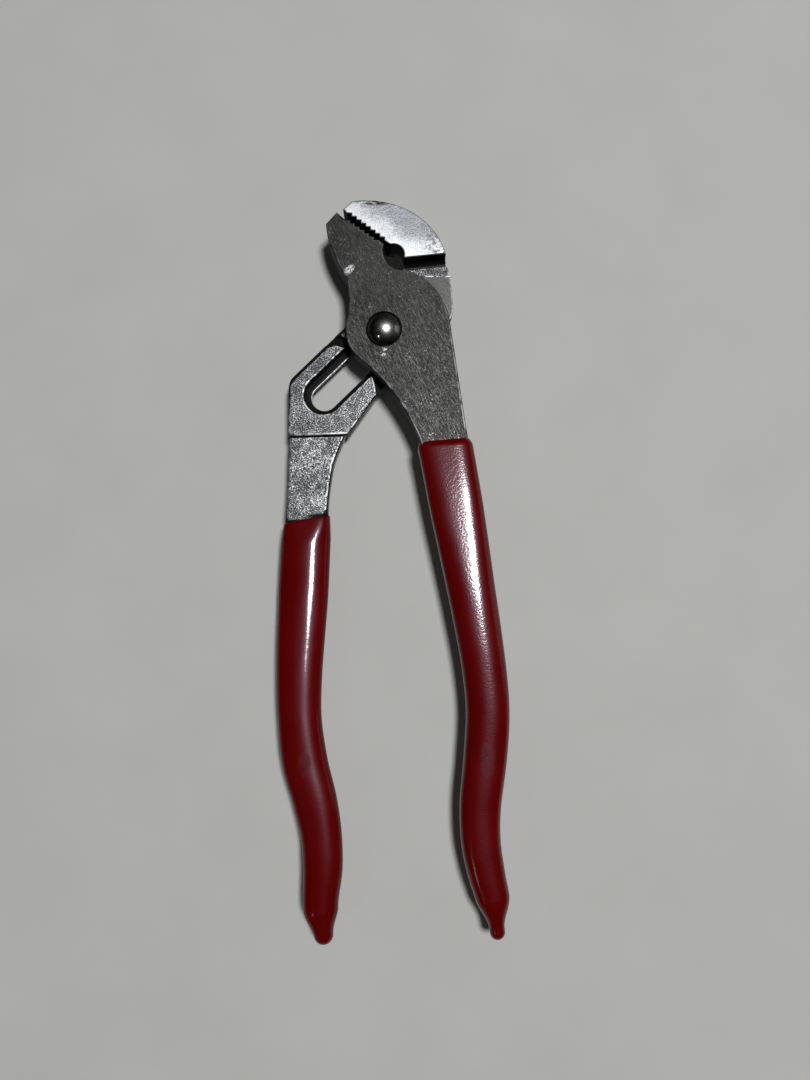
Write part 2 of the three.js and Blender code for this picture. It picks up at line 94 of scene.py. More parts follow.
SHUT_ANGLE, OPEN_ANGLE, TURN_CLEARANCE = 2.5, 68, 0.4
POINT_GAP, SHARP_TURN = 0.02, 0.3

# Pad and its step down to the shank
PAD_LEFT, PAD_RIGHT = (-33.2, -35.8), (-12.7, -35.1)
PAD_EDGE, PAD_SHOULDER, PAD_CORNER, PAD_TURN = -15.4, -32.6, -33.4, 2.2
STEP_LEFT, STEP_RIGHT, STEP_FILLET = (-32.7, -35.78), (-14.2, -35.15), 0.6

# Pivot
BOLT_RADIUS, HOLE_RADIUS, BOSS_RADIUS = 4.0, 4.15, 6.65
BOSS_ROOT, BOSS_END, BOSS_CHAMFER = 0.2, -4.15, 0.3
HEAD_SEAT, HEAD_RADIUS, HEAD_RIM, DOME_HEIGHT = 6.15, 6.1, 0.9, 3.5
WASHER_TOP, WASHER_THICKNESS, WASHER_RADIUS = -6.15, 1.2, 8.5
NUT_TOP, NUT_THICKNESS, NUT_FLAT, NUT_CHAMFER = -7.5, 3.4, 6.5, 0.6
BOLT_END = -11.5
THREAD_PITCH, THREAD_DEPTH, THREAD_ROWS = 1.25, 0.35, 60

# Handles: centre line as x, the share of the way down to the grip's tip, and the width of the steel
HANDLE_REACH, TIP_STAGGER = 204, 2.2
FRONT_HANDLE = dict(
    top=-26.5, tip=TIP_STAGGER - HANDLE_REACH,
    stations=[
        (17.6, 0, 17.4), (20.4, 0.0685, 16), (24.3, 0.1911, 15.4), (29, 0.3451, 13.6),
        (33.3, 0.4991, 12), (34.5, 0.5847, 11.7), (33.6, 0.6703, 11.6), (31.8, 0.7616, 10.9),
        (31.9, 0.8243, 10.2), (33.6, 0.8813, 9.4), (35.7, 0.9298, 8.2), (37.3, 1, 8),
    ],
    thickness=(7.4, 6.6), middle=(2.3, 0.2), bevel=0.45, grip_top=12.4, slant=-6,
    nub=2.5, nub_length=3.5, flare_lap=3,
)
REAR_HANDLE = dict(
    top=-33, tip=-HANDLE_REACH,
    stations=[
        (-23.2, 0, 19.6), (-25.2, 0.0585, 16.2), (-26.1, 0.117, 14.6), (-26.8, 0.193, 14.2),
        (-27.7, 0.3392, 14.2), (-28.6, 0.4912, 12.8), (-28.3, 0.5731, 12), (-26.3, 0.6608, 12.4),
        (-22.7, 0.7368, 11.8), (-20.5, 0.8012, 10.8), (-19.9, 0.8596, 10.3), (-20.5, 0.9298, 8.9),
        (-19, 1, 8.6),
    ],
    thickness=(5.6, 6.2), middle=(-3.95, -1.8), bevel=1.0, grip_top=32.6, slant=14,
    nub=3.2, nub_length=2.5, flare_lap=1,
)

# The handles' steel: corner cuts, the reach of a corner's points, and the ranges before a grip's lip in
# which the steel is painted dark as the lip's shadow and its upper corners are cut more
TANG_BEVEL, BEVEL_START, BEVEL_FULL = 1.5, 3.4, 20
OUTER_BEVEL, INNER_BEVEL, LIP_BEVEL = 0.4, 0.55, 1.6
CORNER_REACH, FLAT_REACH, UPPER_CUTS = 0.25, 0.55, (6, 7, 16)
LIP_SHADE, LIP_CUT = (0.2, 1.8), (0.2, 2.5)
LINE_SAMPLES, BAR_ROWS = 40, 60
NECK_PLACES = (-1.5, 1.0, 4.0)

# Grips: the wall, waves as height and angle per millimetre, and the rolled lip, rings of depth and
# thickness from inside out, then a swell to the full wall
GRIP_WALL, SLANT_FADE, NOSE_LENGTH = 1.4, 25, 10.5
GRIP_ROWS, GRIP_COLUMNS = 150, 128
LONG_WAVE, SHORT_WAVE = (0.03, 0.09), (0.012, 0.33)
LIP_RINGS = (3.0, 0.08), (1.2, 0.08), (0.35, 0.12), (0.08, 0.25), (0.0, 0.4), (0.04, 0.56), (0.14, 0.68)
SWELL_START, SWELL_RISE, SWELL_POWER = 0.32, 0.65, 1.25


# Flat outlines

def heading(degrees):
    """Unit vectors in directions given in degrees: cosine and sine."""
    angle = np.radians(degrees)
    return np.stack([np.cos(angle), np.sin(angle)], -1)


def angle_of(vector):
    """Direction of a vector in degrees."""
    return math.degrees(math.atan2(vector[1], vector[0]))


def unit(vectors):
    """Vectors brought to length one."""
    return vectors / np.linalg.norm(vectors, axis=-1, keepdims=True)


def turned(points, degrees):
    """Points turned about the pivot: the plane rotation of x and y."""
    cos, sin = heading(degrees)
    return np.asarray(points, float) @ np.array([[cos, sin], [-sin, cos]])


def on_slot(along, aside):
    """Points at distances along the slot's line and square to it, on the jaw's side."""
    return turned(np.stack(np.broadcast_arrays(along, aside), -1), SLOT_ANGLE)


def arc(radius, start, end, centre=(0, 0), step=0.5):
    """Points of a circle about a centre, from one angle to another in degrees, both ends included."""
    count = max(3, int(math.radians(abs(end - start)) * radius / step))
    return np.asarray(centre, float) + radius * heading(np.linspace(start, end, count))


def curve(*controls, count=28):
    """A curve drawn toward its control points, each weighted by its term of (t + (1 - t))^n, t even."""
    share = np.linspace(0, 1, count)[:, None]
    degree = len(controls) - 1
    weights = (math.comb(degree, k) * share ** k * (1 - share) ** (degree - k) for k in range(degree + 1))
    return sum(weight * np.asarray(control, float) for weight, control in zip(weights, controls))


def teeth(first, count, slope):
    """Square-cut teeth from the throat to the tip: each step rises along Y, then runs back along X."""
    run, rise = TOOTH_PITCH * heading(slope)
    step = np.arange(count)[:, None, None]
    corner = np.array([[[0, rise], [-run, rise]]])
    return (np.asarray(first) + step * np.array([-run, rise]) + corner).reshape(-1, 2)


def weld(*runs):
    """Joins runs of points into one closed outline and drops points that repeat their neighbour."""
    points = np.concatenate([np.atleast_2d(np.asarray(run, float)) for run in runs])
    apart = np.linalg.norm(points - np.roll(points, 1, axis=0), axis=1)
    return points[apart > POINT_GAP]


def clipped(outline, direction, distance):
    """The part of an outline farther from the pivot than a line square to a direction in degrees.

    The outline is rolled to start at its first kept point, and the two crossings are found from the
    signed distances by linear interpolation.
    """
    out = outline @ heading(direction) - distance
    first = int(np.flatnonzero((out > 0) & (np.roll(out, 1) <= 0))[0])
    points, out = np.roll(outline, -first, axis=0), np.roll(out, -first)
    count = int((out > 0).sum())
    enter = points[0] + (points[-1] - points[0]) * out[0] / (out[0] - out[-1])
    last, after = count - 1, count % len(points)
    leave = points[last] + (points[after] - points[last]) * out[last] / (out[last] - out[after])
    return weld(enter, points[:count], leave)


def inset(outline, distance):
    """An outline whose edges move into the material, each by its own distance or all by one.

    A corner goes to where its two moved edges meet; where the edges run on nearly straight it goes
    along the mean of their normals.
    """
    edge = unit(np.roll(outline, -1, axis=0) - outline)
    after = np.stack([-edge[:, 1], edge[:, 0]], -1)
    before = np.roll(after, 1, axis=0)
    far = np.broadcast_to(np.asarray(distance, float), len(outline))[:, None]
    near = np.roll(far, 1, axis=0)
    turn = np.cross(before, after)[:, None]
    sharp = np.abs(turn) > SHARP_TURN
    meet = (near * after[:, ::-1] - far * before[:, ::-1]) * [1, -1] / np.where(sharp, turn, 1)
    mean = (before + after) / (1 + (before * after).sum(1, keepdims=True)).clip(0.3) * (near + far) / 2
    return outline + np.where(sharp, meet, mean)


# Solids: each is points, blocks of faces with like corners, and the wear and openness of each point,
# openness being the share not painted black as shade

def quads(rows, columns, closed_rows=False):
    """Faces of a grid of points whose columns close on themselves."""
    used = rows if closed_rows else rows - 1
    row, column = np.meshgrid(np.arange(used) * columns, np.arange(columns), indexing="ij")
    beside = (column + 1) % columns
    above = (row + columns) % (rows * columns)
    return np.stack([row + column, row + beside, above + beside, above + column], -1).reshape(-1, 4)


def outer_walls(outline, side):
    """Openness of an outline's walls: none where they face the throat, a little where they face away;
    the rest is painted black as their shade.
    """
    edge = unit(np.roll(outline, -1, axis=0) - np.roll(outline, 1, axis=0))
    facing = np.stack([edge[:, 1], -edge[:, 0]], -1) @ heading(90 - REAR_SLOPE)
    return np.where(side * facing > FACES_THROAT, 0.0, OUTER_WALL)


def rim(outline, low, high, front_round=0.0, back_round=0.0, chamfer=None, wall=0.0):
    """Rows round an outline from the back face over the wall to the front face.

    A rounded edge is a quarter circle: the inset runs as r(1 - cos t) while the height comes down by
    r(1 - sin t); the front radius may differ from edge to edge. Edges given a chamfer run straight
    from its foot to its top instead. Returns rows x points x 3 and the marks of each point: its wear,
    full on rounded edges, and its openness, the share not painted black as shade, full on rounded
    faces, none on chamfers and on front faces without a round, its own on the wall.
    """
    flat = np.zeros(len(outline))
    quarter = np.linspace(0, math.pi / 2, ROUND_STEPS + 1)
    cut = flat if chamfer is None else chamfer
    corner = np.maximum(cut, np.roll(cut, 1))
    rows = [(0, low, 0, wall)]
    if back_round:
        rows = [(back_round + FACE_MARGIN, low, 0, 1)]
        for t in quarter:
            move, rise = back_round * (1 - math.sin(t)), back_round * (1 - math.cos(t))
            rows += [(move, low + rise, 1, np.maximum(wall, math.cos(t)))]
        rows += [(0, low + back_round + FACE_MARGIN, 0, wall)]
    if np.any(front_round):
        drop = np.where(corner > 0, corner, np.max(front_round))
        wide = np.where(cut > 0, cut, front_round)
        rows += [(0, high - drop - FACE_MARGIN, 0, wall)]
        for t in quarter:
            in_share = np.where(cut > 0, 2 * t / math.pi, 1 - math.cos(t))
            down_share = np.where(corner > 0, 1 - 2 * t / math.pi, 1 - math.sin(t))
            unshaded_share = np.where(corner > 0, 0, np.maximum(wall, math.sin(t)))
            rows += [(wide * in_share, high - drop * down_share, 1, unshaded_share)]
        rows += [(wide + FACE_MARGIN, high, 0, 1)]
    else:
        rows += [(0, high - TOP_RING, 0, wall), (0, high, 0, 0)]
    rows = np.array([[flat + value for value in row] for row in rows])
    rings = np.stack([np.column_stack([inset(outline, move), height]) for move, height, _, _ in rows])
    return rings, rows[:, 2:].transpose(0, 2, 1)


def cap(rings, starts, upward):
    """Flat triangles between an outer ring and the rings of its holes, facing up or down."""
    index = np.concatenate([start + np.arange(len(ring)) for ring, start in zip(rings, starts)])
    triangles = np.array(tessellate_polygon([ring.tolist() for ring in rings]))
    a, b, c = np.concatenate(rings)[triangles.T, :2]
    facing = np.cross(b - a, c - a) > 0
    return index[np.where((facing == upward)[:, None], triangles, triangles[:, ::-1])]


def plate(outline, low, high, front_round=0.0, back_round=0.0, holes=(), chamfer=None, wall=0.0):
    """A flat solid: its rim, the rims of its holes and a cap over each face."""
    rims = [rim(outline, low, high, front_round, back_round, chamfer, wall), *holes]
    starts = np.cumsum([0] + [rows.shape[0] * rows.shape[1] for rows, _ in rims])
    last = [end - rows.shape[1] for (rows, _), end in zip(rims, starts[1:])]
    faces = [quads(*rows.shape[:2]) + start for (rows, _), start in zip(rims, starts)]
    faces.append(cap([rows[0] for rows, _ in rims], starts, False))
    faces.append(cap([rows[-1] for rows, _ in rims], last, True))
    points = np.concatenate([rows.reshape(-1, 3) for rows, _ in rims])
    marks = np.concatenate([values.reshape(-1, 2) for _, values in rims])
    return points, faces, marks


def carried(rows, wear, unshaded_share=1.0):
    """A skin through rows of points, closed round and capped at both ends by its first and last row."""
    count, columns = rows.shape[:2]
    end = np.arange(columns)[None]
    faces = [quads(count, columns), end[:, ::-1], end + (count - 1) * columns]
    marks = [np.broadcast_to(mark, (count, columns)).reshape(-1) for mark in (wear, unshaded_share)]
    return rows.reshape(-1, 3), faces, np.stack(marks, -1)


def spun(profile, columns, radius_at=None):
    """A profile of (radius, height) pairs turned about the pivot and closed on itself as a ring.

    radius_at may shape the radius by angle and height, as on a six-sided nut or a thread.
    """
    angle = np.linspace(0, 2 * math.pi, columns, endpoint=False)
    radius, height = np.repeat(np.array(profile).T[..., None], columns, axis=-1)
    if radius_at:
        radius = radius_at(radius, angle, height)
    points = np.stack([radius * np.cos(angle), radius * np.sin(angle), height], -1)
    marks = np.tile([0.0, 1.0], (points[..., 0].size, 1))
    return points.reshape(-1, 3), [quads(len(profile), columns, True)], marks


def linked(name, data):
    """A new object that holds some data, in the scene."""
    made = bpy.data.objects.new(name, data)
    bpy.context.scene.collection.objects.link(made)
    return made


def piece(name, solids, materials, body, node, sharp=40):
    """One object from closed solids, with marks on its points, a finish per solid and sharp corners."""
    faces, finish, start = [], [], 0
    for (points, blocks, _), material in solids:
        for block in blocks:
            faces += (block + start).tolist()
            finish += [material] * len(block)
        start += len(points)
    points = np.concatenate([points for (points, _, _), _ in solids])
    marks = np.concatenate([marks for (_, _, marks), _ in solids]).astype(np.float32)
    mesh = bpy.data.meshes.new(name)
    mesh.from_pydata((points + [0, 0, LAP_HEIGHT]) * MM, [], faces)
    for column, mark in enumerate(("wear", "open")):
        values = np.ascontiguousarray(marks[:, column])
        mesh.attributes.new(mark, "FLOAT", "POINT").data.foreach_set("value", values)
    for material in materials:
        mesh.materials.append(material)
    mesh.polygons.foreach_set("material_index", np.array(finish, np.int32))
    mesh.polygons.foreach_set("use_smooth", np.array([len(corners) == 4 for corners in faces]))
    mesh.set_sharp_from_angle(angle=math.radians(sharp))
    mesh.update()
    made = linked(name, mesh)
    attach(made, body)
    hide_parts(node)


# Handles

def centre_line(handle):
    """A smooth curve through x, y and width: a cubic between each two stations and their tangents.

    Knot spans are the square roots of the chords; each tangent joins the two neighbouring slopes.
    """
    points = np.asarray(handle["stations"], float)
    points[:, 1] = handle["top"] + (handle["tip"] - handle["top"]) * points[:, 1]
    points = np.vstack([2 * points[0] - points[1], points, 2 * points[-1] - points[-2]])
    span = np.sqrt(np.linalg.norm(np.diff(points, axis=0), axis=1))[:, None]
    p0, p1, p2, p3 = points[:-3], points[1:-2], points[2:-1], points[3:]
    d0, d1, d2 = span[:-2], span[1:-1], span[2:]
    leave = ((p1 - p0) / d0 - (p2 - p0) / (d0 + d1) + (p2 - p1) / d1) * d1
    arrive = ((p2 - p1) / d1 - (p3 - p1) / (d1 + d2) + (p3 - p2) / d2) * d1
    t = np.linspace(0, 1, LINE_SAMPLES, endpoint=False)[:, None, None]
    line = (2 * t ** 3 - 3 * t ** 2 + 1) * p1 + (t ** 3 - 2 * t ** 2 + t) * leave
    line = line + (3 * t ** 2 - 2 * t ** 3) * p2 + (t ** 3 - t ** 2) * arrive
    line = np.vstack([line.transpose(1, 0, 2).reshape(-1, 3), points[-2]])
    distance = np.concatenate([[0], np.cumsum(np.linalg.norm(np.diff(line, axis=0), axis=1))])
    return distance, line


def smooth(value, low, high):
    """The S-shaped step 3t^2 - 2t^3 between two values."""
    t = np.clip((value - low) / (high - low), 0, 1)
    return t * t * (3 - 2 * t)


def handle_at(handle, distance):
    """Centre, directions, width, thickness, middle height and corner cut along a handle, as columns."""
    distance = np.reshape(distance, (-1, 1))
    known, line = centre_line(handle)
    slope = np.gradient(line[:, :2], known, axis=0)
    x, y, width, run, rise = (np.interp(distance, known, values) for values in [*line.T, *slope.T])
    along = unit(np.stack([run, rise], -1))
    settle = smooth(distance / known[-1], 0, 1)
    ends = handle["thickness"], handle["middle"]
    thickness, middle = (first + (last - first) * settle for first, last in ends)
    inside = distance - handle["grip_top"]
    return SimpleNamespace(
        centre=np.stack([x, y], -1), along=along, across=np.stack([-along[..., 1], along[..., 0]], -1),
        width=width, thickness=thickness, middle=middle, inside=inside, to_tip=known[-1] - distance,
        bevel=handle["bevel"] + (TANG_BEVEL - handle["bevel"]) * smooth(inside, BEVEL_START, BEVEL_FULL),
        slant=math.tan(math.radians(handle["slant"])),
    )


def placed(place, aside, up, forward=0.0):
    """Points of sections set on a handle: across, up and along its centre line."""
    forward = np.broadcast_to(forward, aside.shape)
    flat = place.centre + place.across * aside[..., None] + place.along * forward[..., None]
    return np.concatenate([flat, (place.middle + up)[..., None]], -1)


def steel_bar(handle, start, shrink=0.0):
    """The steel of a handle: a bar with eight broken and slightly rounded corners, worn along each.

    Each corner is three points, the middle one half way out to the sharp corner, and a fourth, picked
    before or after them, that keeps its face flat. The two upper corners are cut less than the lower
    ones, and more where they enter the grip. The openness falls on their cuts and next to the grip's
    slanted lip, where the steel is painted black as shade.
    """
    length = centre_line(handle)[0][-1]
    top = handle["grip_top"]
    distance = [np.linspace(start, top + 5, BAR_ROWS), np.linspace(top + 6, length - NOSE_LENGTH, BAR_ROWS)]
    place = handle_at(handle, np.concatenate(distance))
    half, up = place.width / 2 - shrink, place.thickness / 2 - shrink
    bevel, slant, to_lip = place.bevel, place.slant, -place.inside
    outer = bevel * (LIP_BEVEL + (OUTER_BEVEL - LIP_BEVEL) * smooth(to_lip + slant * half, *LIP_CUT))
    inner = bevel * (LIP_BEVEL + (INNER_BEVEL - LIP_BEVEL) * smooth(to_lip - slant * half, *LIP_CUT))
    aside = np.hstack([half, half, half - inner, outer - half, -half, -half, bevel - half, half - bevel])
    rise = np.hstack([bevel - up, up - inner, up, up, up - outer, bevel - up, -up, -up])
    corner = np.stack([aside, rise], -1)
    before = unit(np.roll(corner, 1, axis=1) - corner)
    after = unit(np.roll(corner, -1, axis=1) - corner)
    near, far = corner + CORNER_REACH * before, corner + CORNER_REACH * after
    eased = corner * 0.5 + (near + far) * 0.25
    points = np.stack([corner + FLAT_REACH * before, near, eased, far, corner + FLAT_REACH * after], 2)
    pick = np.arange(4) + (np.arange(8) % 2 == 0)[:, None]
    across, up = np.moveaxis(points[:, np.arange(8)[:, None], pick].reshape(len(corner), 32, 2), -1, 0)
    # The upper cuts and the steel just before the lip are painted black as shade
    shaded_cut = np.isin(np.arange(32), UPPER_CUTS)
    unshaded_share = smooth(to_lip - slant * across, *LIP_SHADE) * ~shaded_cut
    return carried(placed(place, across, up), pick.ravel() == 2, unshaded_share)


def grip_skin(handle, lip, square, square_top, fade, twist):
    """A dipped sleeve: the squarish oval |x/a|^n + |z/b|^n = 1 carried along the handle.

    It starts inside, against the steel, turns over a small round, swells along a slanted lip up to
    the wall's full thickness, follows the steel at that distance with a faint waviness, and runs out
    into a round nub, where n falls to 2. Near the top the section leans over by a small twist.
    """
    length = centre_line(handle)[0][-1]
    top = handle["grip_top"]
    swell = np.linspace(0, 1, 12)
    lip_depth, lip_grow = np.array(LIP_RINGS).T
    swell_depth = SWELL_START + (lip - SWELL_START) * swell
    swell_grow = GRIP_WALL - (1 - swell) ** SWELL_POWER * SWELL_RISE
    flare = NOSE_LENGTH + handle["flare_lap"]
    body = np.linspace(top + lip + 0.7, length - flare, GRIP_ROWS)
    ball = handle["nub"] * (1 - np.sin(np.linspace(0, math.pi / 2, 10)[1:-1]))
    nose = length - np.concatenate([np.linspace(flare, handle["nub"], 30)[1:], ball, [0.004]])
    distance = np.concatenate([top + lip_depth, top + swell_depth, body, nose])
    grow = np.concatenate([lip_grow, swell_grow, np.full(len(body) + len(nose), GRIP_WALL)])
    place = handle_at(handle, distance)
    turn = np.linspace(0, 2 * math.pi, GRIP_COLUMNS, endpoint=False)
    inside = place.inside
    spread = smooth(place.to_tip, handle["nub_length"], flare)
    nub = np.sqrt(np.clip(1 - (1 - np.clip(place.to_tip / handle["nub"], 0, 1)) ** 2, 0, 1)) * handle["nub"]
    squareness = 2 + spread * (square + (square_top - square) * (1 - smooth(inside, 0, fade)))
    wave = LONG_WAVE[0] * np.sin(inside * LONG_WAVE[1] + 2 * np.sin(turn))
    wave = wave + SHORT_WAVE[0] * np.sin(inside * SHORT_WAVE[1] + 2 * turn)
    wide, tall = (nub + spread * (size / 2 + grow[:, None] - nub) + wave * spread
                  for size in (place.width, place.thickness))
    cos, sin = np.cos(turn), np.sin(turn)
    aside = wide * np.sign(cos) * np.abs(cos) ** (2 / squareness)
    up = tall * np.sign(sin) * np.abs(sin) ** (2 / squareness)
    up = up + twist * aside * (1 - smooth(inside, 0, fade)) * smooth(inside, 0, lip)
    tilt = place.slant * (1 - smooth(inside, 0, SLANT_FADE))
    return carried(placed(place, aside, up, -tilt * aside), 0.0)


# Front half

def front_outline():
    """Outline of the front half, counter-clockwise from the jaw's tip: arcs, curves and teeth."""
    neck = handle_at(FRONT_HANDLE, np.add(FRONT_HANDLE["grip_top"], NECK_PLACES))
    left, right = (neck.centre[:, 0] + side * neck.across[:, 0] * neck.width / 2 for side in (-1, 1))
    throat = FRONT_FIRST + FRONT_TEETH * TOOTH_PITCH * heading(-FRONT_SLOPE)
    notch = np.asarray(FRONT_NOTCH)
    apart = np.linalg.norm(notch)
    along = (apart ** 2 + RIM_RADIUS ** 2 - FRONT_NOTCH_RADIUS ** 2) / (2 * apart)
    meet = RIM_RADIUS * heading(angle_of(notch) - math.degrees(math.acos(along / RIM_RADIUS)))
    heel = arc(HEEL_RADIUS, HEEL_START, HEEL_END)
    return weld(
        FRONT_TIP, curve(*FRONT_BACK), curve(*FRONT_WAIST), heel,
        curve(heel[-1], heel[-1] + HEEL_PULL * heading(HEEL_END + 90), left[0]),
        left, right[::-1],
        arc(RIM_RADIUS, RIM_START, angle_of(meet)),
        arc(FRONT_NOTCH_RADIUS, angle_of(meet - notch) + 360, angle_of(throat - notch), notch),
        teeth(throat, FRONT_TEETH, FRONT_SLOPE),
    )


def round_hole(radius, low, high):
    """The wall of a round hole about the pivot, as a rim that runs the other way round."""
    return rim(arc(radius, 360, 0, step=0.3)[:-1], low, high, HOLE_ROUND, HOLE_ROUND)


def tongue_hollow():
    """The wall of the hollow beside the tongue: two arcs about the pivot, clockwise."""
    outer = arc(TONGUE_INNER, TONGUE_END, TONGUE_START)
    inner = arc(TONGUE_INNER - HOLLOW_WIDTH, TONGUE_START, TONGUE_END)
    return rim(weld(outer, inner), FRONT_UNDERSIDE, HOLLOW_TOP, 0, HOLE_ROUND)


def front_half(finish):
    """The plate in two layers, the lower one hollowed beside the tongue; jaw, boss and handle below it."""
    outline = front_outline()
    walls = outer_walls(outline, 1)
    clear = BAR_HALF + TURN_CLEARANCE
    jaw = clipped(outline, SLOT_ANGLE + 90 + SHUT_ANGLE, clear)
    jaw = clipped(jaw, SLOT_ANGLE + 90 - OPEN_ANGLE, clear)
    boss = spun([(HOLE_RADIUS, BOSS_ROOT), (HOLE_RADIUS, BOSS_END), (BOSS_RADIUS - BOSS_CHAMFER, BOSS_END),
                 (BOSS_RADIUS, BOSS_END + BOSS_CHAMFER), (BOSS_RADIUS, BOSS_ROOT)], 96)
    solids = [
        (plate(outline, FRONT_UNDERSIDE, HOLLOW_TOP, 0, UNDER_ROUND, wall=walls,
               holes=[round_hole(HOLE_RADIUS, FRONT_UNDERSIDE, HOLLOW_TOP), tongue_hollow()]), 0),
        (plate(outline, HOLLOW_TOP, FRONT_FACE, EDGE_ROUND, wall=walls,
               holes=[round_hole(HOLE_RADIUS, HOLLOW_TOP, FRONT_FACE)]), 0),
        (plate(jaw, BACK_FACE, FRONT_UNDERSIDE, 0, EDGE_ROUND, wall=outer_walls(jaw, 1)), 0),
        (boss, 0),
        (steel_bar(FRONT_HANDLE, start=2.5, shrink=0.03), 0),
    ]
    piece("front_half_steel", solids, [finish], "front", "front_half")


# Rear half

def groove_edge(setting, radius, aside):
    """Distance along the slot's line of an arc about the bolt's place in a setting: root of r^2 - a^2."""
    return -setting * SETTING_PITCH + np.sqrt(radius ** 2 - aside ** 2)


def groove_line(setting, radius, aside):
    """Points of that arc at distances square to the slot's line."""
    return on_slot(groove_edge(setting, radius, aside), aside)


def bar_sides():
    """Points and curves of the slotted bar and the pad that the rear half's outlines share."""
    def side(x, aside):
        """The point of one side of the bar at x."""
        return x, on_slot(0, aside)[1] + x - on_slot(0, aside)[0]

    corner = REAR_SIDE[0]
    pad_corner = side(PAD_CORNER, BAR_HALF)
    return dict(
        corner=(side(corner[0] - REAR_CORNER_CUT, -BAR_HALF), side(corner[0], -BAR_HALF), corner),
        pad_foot=[PAD_LEFT, PAD_RIGHT, on_slot(PAD_EDGE, -BAR_HALF)],
        pad_turn=(on_slot(PAD_SHOULDER, BAR_HALF), pad_corner, np.subtract(pad_corner, (0, PAD_TURN))),
        throat_foot=side(THROAT_FOOT, BAR_HALF),
    )


def rear_outline(sides):
    """Outline of the rear half, counter-clockwise: teeth, notch, bar, pad, bar, and the jaw's back."""
    notch_end = angle_of(np.subtract(REAR_FIRST, REAR_NOTCH)) - math.degrees(0.3)
    return weld(
        REAR_TIP,
        teeth(REAR_FIRST, REAR_TEETH, REAR_SLOPE)[::-1],
        REAR_FIRST,
        arc(REAR_NOTCH_RADIUS, notch_end, 0, REAR_NOTCH),
        sides["throat_foot"], curve(*sides["pad_turn"]), sides["pad_foot"],
        curve(*sides["corner"], count=10), curve(*REAR_SIDE), curve(*REAR_BACK, count=50),
    )


def stadium(half_width):
    """A round-ended loop along the slot, from the first setting to the last, clockwise."""
    near = half_width * heading(np.linspace(90, -90, SLOT_END_POINTS))
    return turned(np.vstack([near, (-SLOT_TRAVEL, 0) - near]), SLOT_ANGLE)


def stepped_slot():
    """Rim of the slot: narrow from the back up to the ledge, then wide up to the bed."""
    ledge = LAP_FACE - LEDGE_DEPTH
    # Level: half width, height, wear, openness; the ledge and the wide walls are painted black as shade
    levels = [
        (SLOT_NARROW_HALF, BACK_FACE, 0, 0.8), (SLOT_NARROW_HALF, ledge - 0.3, 0, 0.8),
        (SLOT_NARROW_HALF + 0.05, ledge - 0.05, 0.6, 0.7), (SLOT_NARROW_HALF + 0.3, ledge, 0, 0),
        (SLOT_HALF, ledge, 0, 0), (SLOT_HALF, BED_TOP, 0, 0),
    ]
    rows = np.stack([np.insert(stadium(half), 2, height, axis=1) for half, height, _, _ in levels])
    marks = np.array([level[2:] for level in levels], float)
    return rows, np.repeat(marks[:, None], rows.shape[1], axis=1)


def jaw_side(outline):
    """Chamfer of each edge: full along the bar's outer side, easing out round the pad's corner."""
    aside = turned(outline, -SLOT_ANGLE)[:, 1]
    middle = (aside + np.roll(aside, -1)) / 2
    length = np.linalg.norm(outline - np.roll(outline, -1, axis=0), axis=1)
    along_bar = np.abs(aside - np.roll(aside, -1)) / length < 0.9
    return np.where(along_bar, RAIL_CHAMFER * smooth(middle, BAR_HALF - 3, BAR_HALF - 0.05), 0)


def beside_slot(outline):
    """Which edges of an outline lie within the bar's sides, beside the slot or across a groove."""
    middle = turned((outline + np.roll(outline, -1, axis=0)) / 2, -SLOT_ANGLE)
    return (np.abs(middle[:, 1]) < BAR_HALF - 0.1) & (middle[:, 0] > -SLOT_TRAVEL - SLOT_HALF - 0.1)


def pad_outline(sides):
    """The pad: a fork that ends in the last groove's near wall, about the slot's far end."""
    last = SETTINGS - 1
    right_aside = np.linspace(-BAR_HALF, -SLOT_HALF, 14)
    left_aside = np.append(np.linspace(SLOT_HALF, BAR_HALF - RAIL_CHAMFER - 0.3, 11), BAR_HALF)
    bottom = (-SLOT_TRAVEL, 0) + SLOT_HALF * heading(np.linspace(-90, -270, SLOT_END_POINTS))
    return weld(
        sides["pad_foot"], groove_line(last, GROOVE_RADIUS, right_aside),
        turned(bottom, SLOT_ANGLE), groove_line(last, GROOVE_RADIUS, left_aside),
        curve(*sides["pad_turn"], count=12),
    )


def land_outline(setting, low, high):
    """The land between two grooves, over asides from low to high: two arcs about neighbouring settings."""
    ease = RAIL_CHAMFER + 0.3 if high > 0 else 0.3
    aside = np.append(np.linspace(low, high - ease, 22), high)
    outer = groove_edge(setting, GROOVE_OUTER, aside)
    slot_end = np.sqrt(np.clip((SLOT_HALF + 0.05) ** 2 - aside ** 2, 0, None))
    outer = np.where(np.abs(aside) < SLOT_HALF - 0.1, np.maximum(outer, slot_end), outer)
    return weld(on_slot(outer, aside)[::-1], groove_line(setting - 1, GROOVE_RADIUS, aside))


def wall_foot(left, right, floor_height, radius):
    """Hollow fillet at the foot of a wall, painted black all over as the shadow there: a quarter circle,
    r(1 - sin t) out and r(1 - cos t) up.
    """
    left, right = np.asarray(left), np.asarray(right)
    along = unit(right - left)
    out = np.array([along[1], -along[0]])
    t = np.linspace(0, math.pi / 2, 12)
    reach = np.concatenate([radius * (1 - np.sin(t)), [-0.3, -0.3, radius]])
    height = np.concatenate([radius * (1 - np.cos(t)), [radius, -0.5, -0.5]])
    share = np.linspace(0, 1, 24)[:, None, None]
    flat = left + (right - left) * share + reach[:, None] * out
    up = np.broadcast_to(height + floor_height, flat.shape[:2])
    return carried(np.concatenate([flat, up[..., None]], -1), 0.0, 0.0)


BLASTED, GROUND, LAPPED, BED = range(4)


